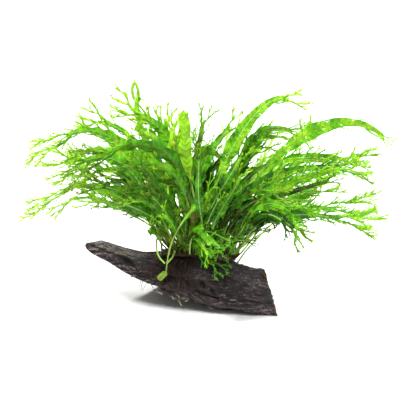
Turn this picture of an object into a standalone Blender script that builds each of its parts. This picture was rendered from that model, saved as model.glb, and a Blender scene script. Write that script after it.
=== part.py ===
"""Lace java fern grown on a piece of driftwood: the solids, at real size.

The wood stands on a flat foot, in which the origin lies. Creeping rhizomes lie along its
top, roots run down its front, and every frond is a solid of its own: a stalk, a strap of
a blade and a forked crest. +Z is up, -Y faces the viewer.
Tables and sizes below are in millimetres; the meshes are made in metres.
"""

import math
from typing import NamedTuple

import bmesh
import bpy
from mathutils import Matrix, Vector, noise
from mathutils.bvhtree import BVHTree

MM = 0.001
UP = Vector((0, 0, 1))
GAP = 0.35  # clear space between pieces that touch

# ---------------------------------------------------------------- driftwood

WOOD_ALONG = 39  # rings along the wood
WOOD_AROUND = 4  # samples between two outline points of a ring
END_LEAN = -0.25  # the sawn end leans: x shift for each mm of height
END_SKEW = -0.1  # and for each mm behind the front lip
END_FRONT = -28  # y of the front lip there
END_LEAN_REACH = 34  # how far in from the sawn end the lean fades out

# Rings of the wood: x, then the outline as (y, z) from the ridge, down the front
# shoulder, front face, front lip, underside and back heel, up to the back shoulder.
WOOD_RINGS = (
    (-136, (1, 59.8), (-2, 60), (-5, 58.8), (-5, 57), (0, 55), (5, 55.6), (4, 58.8)),
    (-131, (6, 58.6), (-1, 60.4), (-6, 57.6), (-7, 53.2), (2, 50.4), (11, 51.6), (12, 56)),
    (-123, (9, 59.4), (-2, 57.8), (-8.5, 54), (-9.5, 49.4), (2, 45.8), (15, 46.8), (16, 53.5)),
    (-115, (10, 56.6), (-3, 54.8), (-10, 50.8), (-11.5, 46), (2, 42), (17, 42), (19, 50)),
    (-100, (12, 50.2), (-3, 48.8), (-13, 44), (-15, 37.2), (2, 32), (24, 31), (25, 42.6)),
    (-86, (14, 44.8), (-4, 45.6), (-16, 40), (-18, 30.8), (2, 25), (29, 20), (30, 37)),
    (-68, (16, 44.4), (-6, 45.6), (-20, 37.5), (-21, 25), (4, 15.5), (40, -2), (40, 31)),
    (-50, (16, 43.4), (-9, 43.6), (-23, 33.5), (-24, 20.6), (6, 7), (44, -7), (45, 29)),
    (-32, (14, 42), (-11, 42), (-26, 30), (-27, 13.8), (6, -1.4), (46, -8), (47, 28)),
    (-14, (12, 39.8), (-12, 38.6), (-27, 25.5), (-29, 10.6), (4, -4.2), (47, -8), (46, 25)),
    (-4, (11, 38.6), (-11, 36), (-26, 22.5), (-29.5, 8.8), (4, -4.8), (46, -8), (44, 22)),
    (4, (10, 33.8), (-9, 31), (-25, 19.5), (-30, 6.8), (4, -5.4), (45, -8), (41, 17)),
    (17, (8, 32.6), (-7, 27.6), (-22.5, 15.4), (-30, 4.4), (4, -5.4), (43, -8), (38, 14)),
    (28, (6, 32.8), (-6, 27), (-21.5, 13.4), (-29, 2.4), (2, -6), (41, -8), (35, 13.6)),
    (38, (5, 32), (-6, 26), (-20.5, 12.4), (-28, 0), (2, -6), (40, -8), (33, 13)),
)


class Hollow(NamedTuple):
    """A dent pressed into the wood: from (x0, a0) to (x1, a1) on ring position a."""

    x0: float
    a0: float
    x1: float
    a1: float
    reach: float  # half width, mm along and the same share of the outline around
    depth: float


# Ring position a runs 0 ridge, 1 front shoulder, 2 front face, 3 front lip, 4 underside.
WOOD_HOLLOWS = (
    Hollow(-126, 1.42, -106, 1.3, 3.0, 2.2),  # split between the front plank and the ledge
    Hollow(-104, 1.4, -96, 1.65, 5.0, 6.5),  # rotted hole behind the front plank
    Hollow(-120, 0.6, -94, 0.55, 2.6, 1.2),  # split between the ledge and the back plank
    Hollow(-62, 1.9, -18, 2.55, 5.5, 3.6),  # long hollow above the lip
    Hollow(-18, 2.5, 20, 2.35, 4.5, 1.8),
    Hollow(-52, 1.3, -44, 2.6, 4.0, 2.2),  # where the roots gather
)
HOLLOW_MM_PER_A = 14  # one step of ring position is about this far round the outline
RIDGE, FINE_RIDGE, LUMP = 0.5, 0.35, 1.6  # heights of the surface's relief
LUMP_SCALE = 0.055  # lumps to a millimetre
FULL_SPAN = 20  # the relief fades where the wood is thinner than this


def curve_through(points, position, closed):
    """Point of a Catmull-Rom curve at a position counted in points."""
    count = len(points)
    index = int(math.floor(position))
    part = position - index
    if closed:
        four = [points[(index + k) % count] for k in (-1, 0, 1, 2)]
    else:
        four = [points[min(max(index + k, 0), count - 1)] for k in (-1, 0, 1, 2)]
    before, start, end, after = four
    return tuple(
        0.5
        * (
            2 * q
            + (r - p) * part
            + (2 * p - 5 * q + 4 * r - s) * part**2
            + (3 * q - p - 3 * r + s) * part**3
        )
        for p, q, r, s in zip(before, start, end, after)
    )


def hollow_depth(x, a):
    """How deep the hollows go at this place of the wood, in mm."""
    deepest = 0.0
    for dent in WOOD_HOLLOWS:
        run = Vector((dent.x1 - dent.x0, (dent.a1 - dent.a0) * HOLLOW_MM_PER_A))
        here = Vector((x - dent.x0, (a - dent.a0) * HOLLOW_MM_PER_A))
        share = min(max(here.dot(run) / run.length_squared, 0), 1)
        away = (here - run * share).length / dent.reach
        deepest = max(deepest, dent.depth * math.exp(-away * away))
    return deepest


def wood_relief(x, a, span):
    """Outward shift of the surface: long ridges, lumps and the hollows."""
    ridges = RIDGE * math.sin(a * 6.1 + x * 0.035) + FINE_RIDGE * math.sin(a * 10.7 - x * 0.05)
    turn = math.tau * a / 7
    place = Vector((x * LUMP_SCALE, math.cos(turn) * 1.4, math.sin(turn) * 1.4))
    relief = ridges + LUMP * noise.noise(place) - hollow_depth(x, a)
    return relief * min(span / FULL_SPAN, 1)


def wood_point(u, a):
    """Surface point in mm: u counts rings along the wood, a outline points around it."""
    xs = [(ring[0],) for ring in WOOD_RINGS]
    x = curve_through(xs, u, closed=False)[0]
    outline = [curve_through([ring[1 + k] for ring in WOOD_RINGS], u, False) for k in range(7)]
    y, z = curve_through(outline, a, closed=True)
    middle_y = sum(p[0] for p in outline) / 7
    middle_z = sum(p[1] for p in outline) / 7
    out = Vector((y - middle_y, z - middle_z))
    span = out.length
    out *= 1 + wood_relief(x, a, span) / max(span, 1)
    y, z = middle_y + out.x, middle_z + out.y
    lean = min(max((x - (WOOD_RINGS[-1][0] - END_LEAN_REACH)) / END_LEAN_REACH, 0), 1)
    shift = END_LEAN * z + END_SKEW * (y - END_FRONT)
    return Vector((x + shift * lean * lean, y, z))


def make_driftwood():
    """The wood as a loft through its rings, cut flat at the foot."""
    shell = bmesh.new()
    around = 7 * WOOD_AROUND
    rings = []
    for i in range(WOOD_ALONG):
        u = (len(WOOD_RINGS) - 1) * i / (WOOD_ALONG - 1)
        ring = [shell.verts.new(wood_point(u, k / WOOD_AROUND) * MM) for k in range(around)]
        rings.append(ring)
    for ring, following in zip(rings, rings[1:]):
        for k in range(around):
            after = (k + 1) % around
            shell.faces.new((ring[k], ring[after], following[after], following[k]))
    shell.faces.new(rings[0])
    shell.faces.new(rings[-1])
    bmesh.ops.recalc_face_normals(shell, faces=shell.faces)
    everything = shell.verts[:] + shell.edges[:] + shell.faces[:]
    cut = bmesh.ops.bisect_plane(
        shell, geom=everything, plane_co=(0, 0, 0), plane_no=(0, 0, 1), clear_inner=True
    )
    rim = [g for g in cut["geom_cut"] if isinstance(g, bmesh.types.BMEdge)]
    bmesh.ops.holes_fill(shell, edges=rim, sides=0)
    bmesh.ops.recalc_face_normals(shell, faces=shell.faces)
    return add_object("driftwood", shell, "bark brown")


# ---------------------------------------------------------------- rhizomes

BAR_ROUNDNESS = 1  # bevel resolution: six sides


class Rhizome(NamedTuple):
    """A creeping stem lying on the wood: plan points (x, y), and its radius."""

    name: str
    radius: float
    plan: tuple


RHIZOMES = {
    "front": Rhizome("rhizome_front", 3.4, ((-68, 2), (-52, 0), (-34, 3), (-16, 0), (0, 3))),
    "back": Rhizome("rhizome_back", 3.4, ((-62, 17), (-44, 20), (-26, 17), (-10, 19), (1, 17))),
}
END_TAPER, TAPER_STEP = 0.7, 0.15  # radius at a rhizome's end, and how fast it fills out
OFFSHOOT_RADIUS = 2.7
OFFSHOOT_PATH = ((-64.5, 1.95), (-67, 2.15), (-69.5, 2.35))  # x, ring position


def add_tube(name, points, radius, colour, taper=None):
    """A round bar of that radius through the points, as a mesh."""
    data = bpy.data.curves.new(name, "CURVE")
    data.dimensions = "3D"
    data.bevel_depth = radius * MM
    data.bevel_resolution = BAR_ROUNDNESS
    data.use_fill_caps = True
    spline = data.splines.new("POLY")
    spline.points.add(len(points) - 1)
    for k, point in enumerate(points):
        spline.points[k].co = (*(Vector(point) * MM), 1)
        spline.points[k].radius = taper[k] if taper else 1
    guide = bpy.data.objects.new(name + "_guide", data)
    bpy.context.scene.collection.objects.link(guide)
    graph = bpy.context.evaluated_depsgraph_get()
    mesh = bpy.data.meshes.new_from_object(guide.evaluated_get(graph))
    bpy.data.objects.remove(guide)
    shell = bmesh.new()
    shell.from_mesh(mesh)
    bmesh.ops.remove_doubles(shell, verts=shell.verts, dist=0.01 * MM)
    bpy.data.meshes.remove(mesh)
    return add_object(name, shell, colour)


def wood_top(tree, x, y, spread):
    """Highest point of the wood within a small disc, in mm."""
    heights = []
    for step in range(9):
        turn = step * math.tau / 8
        reach = spread if step < 8 else 0
        start = Vector((x + reach * math.cos(turn), y + reach * math.sin(turn), 300)) * MM
        hit = tree.ray_cast(start, -UP)[0]
        if hit:
            heights.append(hit.z / MM)
    return max(heights)


def rhizome_axis(rhizome, tree):
    """Centre line of a rhizome lying on the wood: points 4 mm apart or less, in mm."""
    steps = 4
    line = []
    for k in range((len(rhizome.plan) - 1) * steps + 1):
        x, y = curve_through(rhizome.plan, k / steps, closed=False)
        top = wood_top(tree, x, y, rhizome.radius)
        line.append(Vector((x, y, top + rhizome.radius + GAP)))
    for _ in range(3):
        for k in range(1, len(line) - 1):
            line[k].z = max(line[k].z, (line[k - 1].z + line[k + 1].z) / 2)
    return line


# ---------------------------------------------------------------- forking ribbons

SOLID_THICK = 1.4  # the Solidify modifier's own thickness; vertex weights scale it
TIP_WIDE, TIP_THICK = 0.9, 0.6
FORK_SPREAD = (24, 19)  # degrees either way at the first and second fork
FORK_SHARE = (0.45, 0.55)  # share of the tuft's length in each
FORK_VARIES, REACH_VARIES = 0.35, 0.22  # how much the spread and the lengths differ
FORK_LIFT = 14  # most degrees that a branch bends out of the ribbon's plane


def scatter(*keys):
    """A fixed number from -1 to 1 for these keys, so that no two pieces are alike."""
    mixed = sum((k + 1) * w for k, w in zip(keys, (12.9898, 78.233, 37.719)))
    return 2 * ((math.sin(mixed) * 43758.5453) % 1.0) - 1


class Strap:
    """An open ribbon that can fork; Solidify gives it its thickness."""

    def __init__(self):
        self.mesh = bmesh.new()
        self.weight = self.mesh.verts.layers.deform.verify()

    def vertex(self, point, thickness):
        made = self.mesh.verts.new(point * MM)
        made[self.weight][0] = thickness / SOLID_THICK
        return made

    def edge(self, centre, side, width, thickness):
        half = side * (width / 2)
        return self.vertex(centre - half, thickness), self.vertex(centre + half, thickness)

    def join(self, before, after):
        """A face between two edges, where the second may carry a crotch."""
        self.mesh.faces.new((before[0], before[-1], *reversed(after)))

    def parted(self, edge, thickness):
        """The edge with a crotch at its middle, from which two branches can grow."""
        middle = (edge[0].co + edge[1].co) / (2 * MM)
        return edge[0], self.vertex(middle, thickness), edge[1]

    def solid(self, name, colour):
        """The ribbon as an object with its thickness."""
        made = add_object(name, self.mesh, colour)
        made.vertex_groups.new(name="thickness")
        body = made.modifiers.new("thickness", "SOLIDIFY")
        body.thickness = SOLID_THICK * MM
        body.offset = 0
        body.vertex_group = "thickness"
        return made


def add_crest(strap, edge, along, side, length, number, spread=1, level=0, path=1):
    """Grow two branches from a parted edge, and two again from the end of each."""
    face = side.cross(along)
    last = level == len(FORK_SPREAD) - 1
    for hand, half in ((-1, edge[:2]), (1, edge[1:])):
        key = path * 2 + (hand > 0)
        turn = hand * spread * FORK_SPREAD[level] * (1 + FORK_VARIES * scatter(number, key))
        turned = Matrix.Rotation(math.radians(-turn), 3, face)
        ahead, wide = turned @ along, turned @ side
        lift = Matrix.Rotation(math.radians(FORK_LIFT * scatter(number, key, 3)), 3, wide)
        ahead = lift @ ahead
        reach = length * FORK_SHARE[level] * (1 + REACH_VARIES * scatter(number, key, 5))
        start = (half[0].co + half[1].co) / (2 * MM)
        width = TIP_WIDE if last else max(2.2 * TIP_WIDE, (half[1].co - half[0].co).length / MM)
        end = strap.edge(start + ahead * reach, wide, width, TIP_THICK)
        if not last:
            end = strap.parted(end, TIP_THICK)
        strap.join(half, end)
        if not last:
            add_crest(strap, end, ahead, wide, length, number, spread, level + 1, key)


# ---------------------------------------------------------------- roots


class RootMat(NamedTuple):
    """Roots that run down the wood as one flat mat and end in free hanging tips."""

    name: str
    path: tuple  # (x, ring position) on the wood
    width: float
    hang: float  # length of the tips below the mat
    lean: float  # how far the tips lean towards -X as they hang


ROOT_MATS = (
    RootMat("roots_left", ((-66, 0.8), (-70, 1.4), (-74, 2), (-78.5, 2.6), (-82, 3)), 6, 17, 0.15),
    RootMat("roots_middle", ((-56, 0.75), (-58, 1.3), (-57, 1.9), (-57.5, 2.5), (-57, 3)), 8, 16, 0),
    RootMat("roots_right", ((-43, 0.75), (-46, 1.3), (-45, 1.9), (-42, 2.5), (-39, 3)), 6, 9, -0.5),
)
ROOT_THICK = 1.2
ROOT_STEPS = 3  # stretches of mat between two points of its path
ROOT_CLEAR = 1.95  # middle of the mat over the wood


def lifted(tree, point, clear):
    """The nearest place that far outside the wood, and the way out."""
    place, outward, _, _ = tree.find_nearest(point * MM)
    return place / MM + outward * clear, outward


def on_wood(tree, x, a, clear):
    """The place that far outside the wood near ring position a, and the way out."""
    ring = next(k for k, end in enumerate(WOOD_RINGS[1:]) if end[0] >= x)
    low, high = WOOD_RINGS[ring][0], WOOD_RINGS[ring + 1][0]
    return lifted(tree, wood_point(ring + (x - low) / (high - low), a), clear)


def make_roots(mat, number, tree):
    """A mat of roots draped over the wood, fraying at its lower end."""
    strap = Strap()
    edge = None
    steps = (len(mat.path) - 1) * ROOT_STEPS
    places = []
    for k in range(steps + 1):
        x, a = curve_through(mat.path, k / ROOT_STEPS, closed=False)
        places.append(on_wood(tree, x, a, ROOT_CLEAR))
    for k, (place, outward) in enumerate(places):
        before, after = places[max(k - 1, 0)][0], places[min(k + 1, steps)][0]
        side = (after - before).normalized().cross(outward).normalized()
        half = side * mat.width * (0.5 - 0.2 * k / steps)
        ends = [lifted(tree, place + reach, ROOT_CLEAR)[0] for reach in (-half, half)]
        made = tuple(strap.vertex(end, ROOT_THICK) for end in ends)
        if k == steps:
            made = strap.parted(made, ROOT_THICK)
        if edge:
            strap.join(edge, made)
        edge = made
    down = Vector((-mat.lean, -0.25, -1)).normalized()
    level = (side - down * side.dot(down)).normalized()
    add_crest(strap, edge, down, level, mat.hang, number)
    return strap.solid(mat.name, "root brown")


# ---------------------------------------------------------------- fronds


class Frond(NamedTuple):
    """One frond, by where it grows, where its blade ends and how it bows."""

    stem: str  # which rhizome
    root: float  # x of its base on the rhizome
    seat: float  # degrees round the rhizome: 0 back, 90 top, 180 front
    tip: tuple  # x, y, z of the end of the blade
    launch: float  # degrees above level as it leaves the rhizome
    arrive: float  # degrees above level at the end of the blade
    width: float  # widest part of the blade
    roll: float  # degrees the blade is turned about its own line: 0 lies flat
    twist: float  # degrees more that it turns from foot to tip
    crest: float  # length of the forked tuft beyond the blade
    stalk: float = 0.34  # share of the length that is bare stalk
    hold: float = 0.40  # how far the bow keeps its first and last direction, per chord
    spread: float = 0.85  # how wide the tuft forks, as a share of FORK_SPREAD


FRONDS = (
    # right-hand side of the fan, from the top down
    Frond("front", -32, 95, (43, 25, 189), 87, -8, 14.5, 78, -20, 20, 0.3, 0.25, spread=0.7),
    Frond("front", -20, 120, (127, -12, 165), 78, -42, 12.5, 68, 15, 10, hold=0.35, spread=0.5),
    Frond("back", -14, 95, (50, 40, 154), 80, -24, 10, 48, 25, 22, hold=0.46, spread=0.8),
    Frond("back", -8, 80, (98, 18, 134), 82, -12, 11, 60, -20, 24, hold=0.45, spread=0.6),
    Frond("front", -9, 107, (87, -28, 142), 88, 4, 10.5, 75, 20, 28, hold=0.45, spread=0.5),
    Frond("back", -4, 60, (78, 56, 101), 82, 42, 9, 30, 30, 20, hold=0.5, spread=0.6),
    Frond("front", -4, 140, (87, -46, 146), 80, 22, 9, 90, -25, 20, 0.4, 0.45, spread=0.7),
    Frond("back", 0, 82, (82, 20, 87), 84, -2, 9.5, 45, 20, 50, hold=0.3, spread=0.35),
    Frond("front", 0, 120, (81, -40, 100), 82, -2, 9, 80, 20, 38, hold=0.35, spread=0.45),
    Frond("front", -3, 165, (46, -62, 99), 46, -28, 9.5, 60, -20, 22, spread=0.6),
    Frond("back", -1, 50, (72, 42, 94), 50, 24, 9.5, 50, 10, 30, 0.5, spread=0.7),
    Frond("front", -47, 143, (-23, -60, 82), 100, -14, 9, 30, 25, 14, 0.25, 0.5),
    Frond("front", -40, 178, (-21, -56, 63), 98, -6, 7.5, 30, 20, 15, 0.2, 0.5),
    # middle of the fan
    Frond("front", -35, 88, (-46, 0, 182), 90, 90, 12, 80, 10, 4, 0.5, 0.5),
    Frond("front", -57, 110, (-55, -20, 176), 70, 72, 7.5, 0, -20, 12, 0.5, 0.5),
    Frond("back", -44, 95, (-64, 45, 155), 84, 88, 8.5, -40, 30, 20, spread=0.8),
    Frond("back", -42, 88, (-30, 30, 162), 98, 66, 9, 75, -25, 17, hold=0.5),
    Frond("back", -27, 100, (-7, 22, 161), 94, 42, 12, 50, 5, 18, hold=0.5),
    Frond("back", -20, 80, (25, 40, 139), 82, 18, 10, 75, 20, 20, hold=0.35),
    Frond("front", -40, 128, (-15, -46, 157), 100, -6, 10.5, 70, 10, 8, 0.5, 0.5),
    Frond("front", -24, 120, (3, -5, 143), 98, 66, 10.5, 85, -20, 18, hold=0.5),
    Frond("back", -24, 70, (-22, 62, 127), 80, 20, 12, 5, 15, 16, hold=0.5),
    Frond("front", -30, 162, (-33, -35, 151), 64, 92, 7, 20, 30, 14, 0.4, 0.5),
    # left-hand side of the fan, from the top down
    Frond("front", -35, 130, (-107, -36, 158), 84, -10, 12.5, 62, 15, 38, 0.34, 0.5),
    Frond("front", -48, 90, (-89, 20, 191), 76, 84, 12.5, 80, -15, 17, spread=0.5),
    Frond("back", -38, 100, (-86, 5, 179), 74, 28, 14, 78, 20, 25, spread=0.8),
    Frond("back", -48, 85, (-117, 35, 164), 70, 20, 8.5, 80, 20, 24, hold=0.35, spread=0.75),
    Frond("front", -51, 100, (-150, 14, 158), 86, -30, 10, 90, -15, 36, hold=0.35, spread=0.32),
    Frond("front", -53, 135, (-131, -29, 148), 54, -18, 10.5, 75, 25, 34, spread=0.8),
    Frond("back", -52, 75, (-130, 32, 156), 74, 24, 10, 90, -20, 16, hold=0.35, spread=0.7),
    Frond("front", -60, 110, (-117, -16, 135), 46, 2, 10, 75, 20, 34, spread=0.75),
    Frond("back", -56, 90, (-151, 2, 112), 43, -34, 8, 55, 20, 42, hold=0.25, spread=0.4),
    Frond("back", -60, 60, (-124, 22, 93), 62, 12, 9, 75, 15, 28, hold=0.5, spread=0.6),
    Frond("front", -58, 138, (-113, -46, 130), 80, 22, 10, 90, -20, 30, hold=0.3, spread=0.5),
    Frond("front", -53, 162, (-88, -66, 133), 60, 10, 9.5, 52, 20, 24, spread=0.7),
    Frond("front", -66, 150, (-74, -38, 93), 80, 48, 8, 50, 10, 10, hold=0.5),
    Frond("back", -51, 22, (-80, 58, 66), 60, 20, 6.5, 60, 10, 10),
    Frond("front", -48, 168, (-73, -62, 127), 78, 36, 9, 60, 15, 22, hold=0.25),
    Frond("front", -50, 140, (-82, -56, 151), 94, 48, 10, 62, 20, 14, hold=0.3),
    # the far side
    Frond("back", -48, 40, (-98, 90, 112), 58, 14, 11, 50, 20, 30),
    Frond("back", -40, 45, (-70, 100, 124), 66, 24, 12, 60, -20, 28),
    Frond("back", -30, 50, (-38, 108, 120), 70, 26, 12, 64, 20, 30),
    Frond("back", -22, 45, (-6, 104, 116), 68, 22, 11.5, 60, -20, 30),
    Frond("back", -13, 48, (30, 94, 112), 60, 12, 12, 55, 20, 32),
    Frond("back", -3, 35, (58, 94, 96), 52, 4, 10.5, 50, -15, 34),
    Frond("back", -56, 30, (-122, 74, 92), 50, -8, 10, 46, 15, 34),
    Frond("back", -34, 20, (-54, 104, 82), 48, -14, 10.5, 40, 20, 28),
    Frond("back", -16, 22, (8, 100, 80), 46, -16, 10.5, 40, -20, 28),
    # the near side, bowing towards the viewer on the right
    Frond("front", -17, 130, (21, -38, 124), 66, 20, 10, 52, 20, 32),
    Frond("front", -35, 168, (-5, -62, 86), 82, 12, 6.5, 65, -20, 26, hold=0.5, spread=1),
    Frond("front", -7, 155, (40, -68, 118), 60, -6, 10.5, 50, 15, 30, spread=1),
    # the young plant on the offshoot
    Frond("offshoot", -65, 160, (-26, -30, 119), 86, 54, 5.5, 35, 20, 16, 0.6, 0.45),
)

SEAT_RISE = 1.8  # straight foot of the stalk, square to the rhizome
STALK_WIDE, STALK_THICK = 1.7, 1.4
BLADE_THICK = 0.7
CREST_START = 0.34  # width of the blade where it frays, as a share of the widest
SWAY, WIGGLE = 5.0, 2.0  # most that a frond strays sideways, in one arc and in two
STALK_STEPS, BLADE_STEPS = 2, 6


def smooth(value):
    """Smooth step from 0 to 1."""
    value = min(max(value, 0), 1)
    return value * value * (3 - 2 * value)


class Bow:
    """The line of a frond from its seat to the end of its blade, with its cross direction."""

    def __init__(self, frond, number, seat, outward):
        self.frond, self.number = frond, number
        self.seat, self.outward = seat, outward
        self.start = seat + outward * SEAT_RISE
        self.end = Vector(frond.tip)
        flat = Vector((self.end.x - self.start.x, self.end.y - self.start.y, 0))
        self.ahead = flat.normalized()
        self.across = self.ahead.cross(UP).normalized()
        chord = (self.end - self.start).length * frond.hold
        self.first = self.start + self.heading(frond.launch) * chord
        self.last = self.end - self.heading(frond.arrive) * chord

    def heading(self, degrees):
        angle = math.radians(degrees)
        return self.ahead * math.cos(angle) + UP * math.sin(angle)

    def point(self, t):
        s = 1 - t
        at = self.start * s**3 + self.first * 3 * s * s * t
        at += self.last * 3 * s * t * t + self.end * t**3
        sway = SWAY * scatter(self.number, 1) * math.sin(math.pi * t)
        wiggle = WIGGLE * scatter(self.number, 2) * math.sin(math.tau * t)
        return at + self.across * (sway + wiggle)

    def frame(self, t):
        """Direction along the frond, direction across the blade, and its upper face."""
        step = 0.01
        along = (self.point(min(t + step, 1)) - self.point(max(t - step, 0))).normalized()
        side = (self.across - along * self.across.dot(along)).normalized()
        roll = self.frond.roll * smooth(t * 2.2) + self.frond.twist * (t - 0.5)
        side = Matrix.Rotation(math.radians(roll), 3, along) @ side
        return along, side, side.cross(along)

    def width(self, t):
        """Width of the frond: bare stalk, then a strap that narrows to the crest."""
        q = (t - self.frond.stalk) / (1 - self.frond.stalk)
        if q <= 0:
            return STALK_WIDE
        shape = smooth(q / 0.45) * (1 - (1 - CREST_START) * smooth((q - 0.5) / 0.5))
        return STALK_WIDE + (self.frond.width - STALK_WIDE) * shape

    def thickness(self, t):
        return STALK_THICK + (BLADE_THICK - STALK_THICK) * smooth((t - self.frond.stalk) / 0.2)


def make_frond(name, bow):
    """One frond as a forked ribbon with thickness."""
    strap = Strap()
    frond = bow.frond
    along, side, _ = bow.frame(0)
    foot_side = (side - bow.outward * side.dot(bow.outward)).normalized()
    edge = strap.edge(bow.seat, foot_side, STALK_WIDE, STALK_THICK)
    stations = [frond.stalk * k / STALK_STEPS for k in range(STALK_STEPS)]
    blade = 1 - frond.stalk
    stations += [frond.stalk + blade * k / BLADE_STEPS for k in range(BLADE_STEPS + 1)]
    for t in stations:
        along, side, _ = bow.frame(t)
        after = strap.edge(bow.point(t), side, bow.width(t), bow.thickness(t))
        if t == stations[-1]:
            after = strap.parted(after, TIP_THICK)
        strap.join(edge, after)
        edge = after
    add_crest(strap, edge, along, side, frond.crest, bow.number, frond.spread)
    return strap.solid(name, "fern green")


def seat_of(frond, axes):
    """Where a frond's stalk meets its rhizome, and which way is out, in mm."""
    axis, radius = axes[frond.stem]
    stretches = list(zip(axis, axis[1:]))
    at_root = (s for s in stretches if (s[0].x - frond.root) * (s[1].x - frond.root) <= 0)
    a, b = next(at_root, stretches[-1])
    share = min(max((frond.root - a.x) / (b.x - a.x), 0), 1)
    run = (b - a).normalized()
    back = Vector((0, 1, 0))
    back = (back - run * back.dot(run)).normalized()
    over = run.cross(back)
    if over.z < 0:
        over = -over
    turn = math.radians(frond.seat)
    outward = back * math.cos(turn) + over * math.sin(turn)
    return a + (b - a) * share + outward * (radius + GAP), outward


# ---------------------------------------------------------------- scene

COLOURS = {  # name: linear colour, roughness
    "bark brown": ((0.035, 0.025, 0.022), 0.85),
    "rhizome brown": ((0.05, 0.04, 0.02), 0.8),
    "offshoot green": ((0.25, 0.36, 0.03), 0.5),
    "root brown": ((0.06, 0.025, 0.012), 0.8),
    "fern green": ((0.10, 0.34, 0.015), 0.42),
}


def material(name):
    found = bpy.data.materials.get(name)
    if found:
        return found
    made = bpy.data.materials.new(name)
    made.use_nodes = True
    colour, roughness = COLOURS[name]
    surface = made.node_tree.nodes["Principled BSDF"]
    surface.inputs["Base Color"].default_value = (*colour, 1)
    surface.inputs["Roughness"].default_value = roughness
    surface.inputs["Metallic"].default_value = 0
    return made


def add_object(name, shell, colour):
    """A bmesh as a named object in the fern's collection."""
    data = bpy.data.meshes.new(name)
    shell.to_mesh(data)
    shell.free()
    data.materials.append(material(colour))
    made = bpy.data.objects.new(name, data)
    collection = bpy.data.collections.get("java_fern") or new_collection()
    collection.objects.link(made)
    return made


def new_collection():
    made = bpy.data.collections.new("java_fern")
    bpy.context.scene.collection.children.link(made)
    return made


def main():
    for old in list(bpy.data.objects):
        bpy.data.objects.remove(old)
    wood = make_driftwood()
    tree = BVHTree.FromObject(wood, bpy.context.evaluated_depsgraph_get())
    axes = {}
    for key, rhizome in RHIZOMES.items():
        line = rhizome_axis(rhizome, tree)
        axes[key] = (line, rhizome.radius)
        from_end = [min(k, len(line) - 1 - k) for k in range(len(line))]
        taper = [min(1, END_TAPER + TAPER_STEP * k) for k in from_end]
        add_tube(rhizome.name, line, rhizome.radius, "rhizome brown", taper)
    clear = ROOT_CLEAR + ROOT_THICK / 2 + GAP + OFFSHOOT_RADIUS
    offshoot = [on_wood(tree, x, a, clear)[0] for x, a in OFFSHOOT_PATH]
    axes["offshoot"] = (offshoot, OFFSHOOT_RADIUS)
    add_tube("rhizome_offshoot", offshoot, OFFSHOOT_RADIUS, "offshoot green")
    for number, mat in enumerate(ROOT_MATS, start=len(FRONDS) + 1):
        make_roots(mat, number, tree)
    for number, frond in enumerate(FRONDS, start=1):
        seat, outward = seat_of(frond, axes)
        make_frond(f"frond_{number:02d}", Bow(frond, number, seat, outward))


if __name__ == "__main__":
    main()
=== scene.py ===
"""Looks of a lace java fern that grows on a piece of driftwood.

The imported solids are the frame. The wood, the rhizomes, the roots and the fronds are made
here from the same rings, rows and rules as those solids, only finer, and take their place.
Sizes are in millimetres in that frame, +Z up and -Y towards the viewer; meshes are made
in metres.
"""

import logging
import math
import random
from collections.abc import Callable
from dataclasses import dataclass, field
from enum import Enum
from typing import Any, NamedTuple

import bmesh
import bpy
from bpy.types import Material, Node, NodeSocket, NodeTree, NodeTreeInterfaceSocket, Object
from mathutils import Matrix, Vector, noise
from mathutils.bvhtree import BVHTree


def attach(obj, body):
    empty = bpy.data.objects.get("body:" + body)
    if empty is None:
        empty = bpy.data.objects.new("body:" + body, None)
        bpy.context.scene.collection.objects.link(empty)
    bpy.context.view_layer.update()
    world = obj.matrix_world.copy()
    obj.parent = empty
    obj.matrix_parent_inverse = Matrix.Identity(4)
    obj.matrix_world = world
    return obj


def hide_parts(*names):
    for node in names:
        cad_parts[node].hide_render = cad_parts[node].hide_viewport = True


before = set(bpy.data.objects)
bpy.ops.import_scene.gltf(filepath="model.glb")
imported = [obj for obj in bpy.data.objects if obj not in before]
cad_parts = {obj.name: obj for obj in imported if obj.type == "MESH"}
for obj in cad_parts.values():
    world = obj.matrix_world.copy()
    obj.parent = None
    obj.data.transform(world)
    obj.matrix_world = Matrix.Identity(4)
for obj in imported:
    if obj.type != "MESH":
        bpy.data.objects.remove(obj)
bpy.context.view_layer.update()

Pair = tuple[float, float]
Triple = tuple[float, float, float]

MM = 0.001
UP = Vector((0, 0, 1))
GAP = 0.35  # clear space that the solids keep between pieces that touch
SIDES = 7  # points of the wood's outline
OFF_RIB = (99, 200, 0.5)  # place on a blade that a strand stands for: no midrib, no stalk
BODY = "root"
NOISE = "ShaderNodeTexNoise"
CELLS = "ShaderNodeTexVoronoi"

log = logging.getLogger("java_fern")


# -------- small tools


def linear(colour: str) -> tuple[float, float, float, float]:
    """Turn an sRGB hex colour such as "#4E9A1E" into linear RGBA.

    Args:
        colour: six hex digits after a hash sign.

    Returns:
        The linear colour, with an alpha of 1.
    """
    parts = [int(colour[k : k + 2], 16) / 255 for k in (1, 3, 5)]
    bright = [c / 12.92 if c <= 0.04045 else ((c + 0.055) / 1.055) ** 2.4 for c in parts]
    return (*bright, 1.0)


def smooth(value: float, low: float = 0.0, high: float = 1.0) -> float:
    """Smooth step of a value from 0 at low to 1 at high."""
    value = min(max((value - low) / (high - low), 0.0), 1.0)
    return value * value * (3 - 2 * value)


def smooth_square(value: float) -> float:
    """The square of a value held between 0 and 1."""
    return min(max(value, 0.0), 1.0) ** 2


def scatter(*keys: float) -> float:
    """A fixed number from -1 to 1 for these keys, the same as in the solids."""
    mixed = sum((k + 1) * w for k, w in zip(keys, (12.9898, 78.233, 37.719)))
    return 2 * ((math.sin(mixed) * 43758.5453) % 1.0) - 1


def turned(vector: Vector, angle: float, axis: Vector) -> Vector:
    """A vector turned about an axis by an angle in radians."""
    return Matrix.Rotation(angle, 3, axis) @ vector


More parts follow.
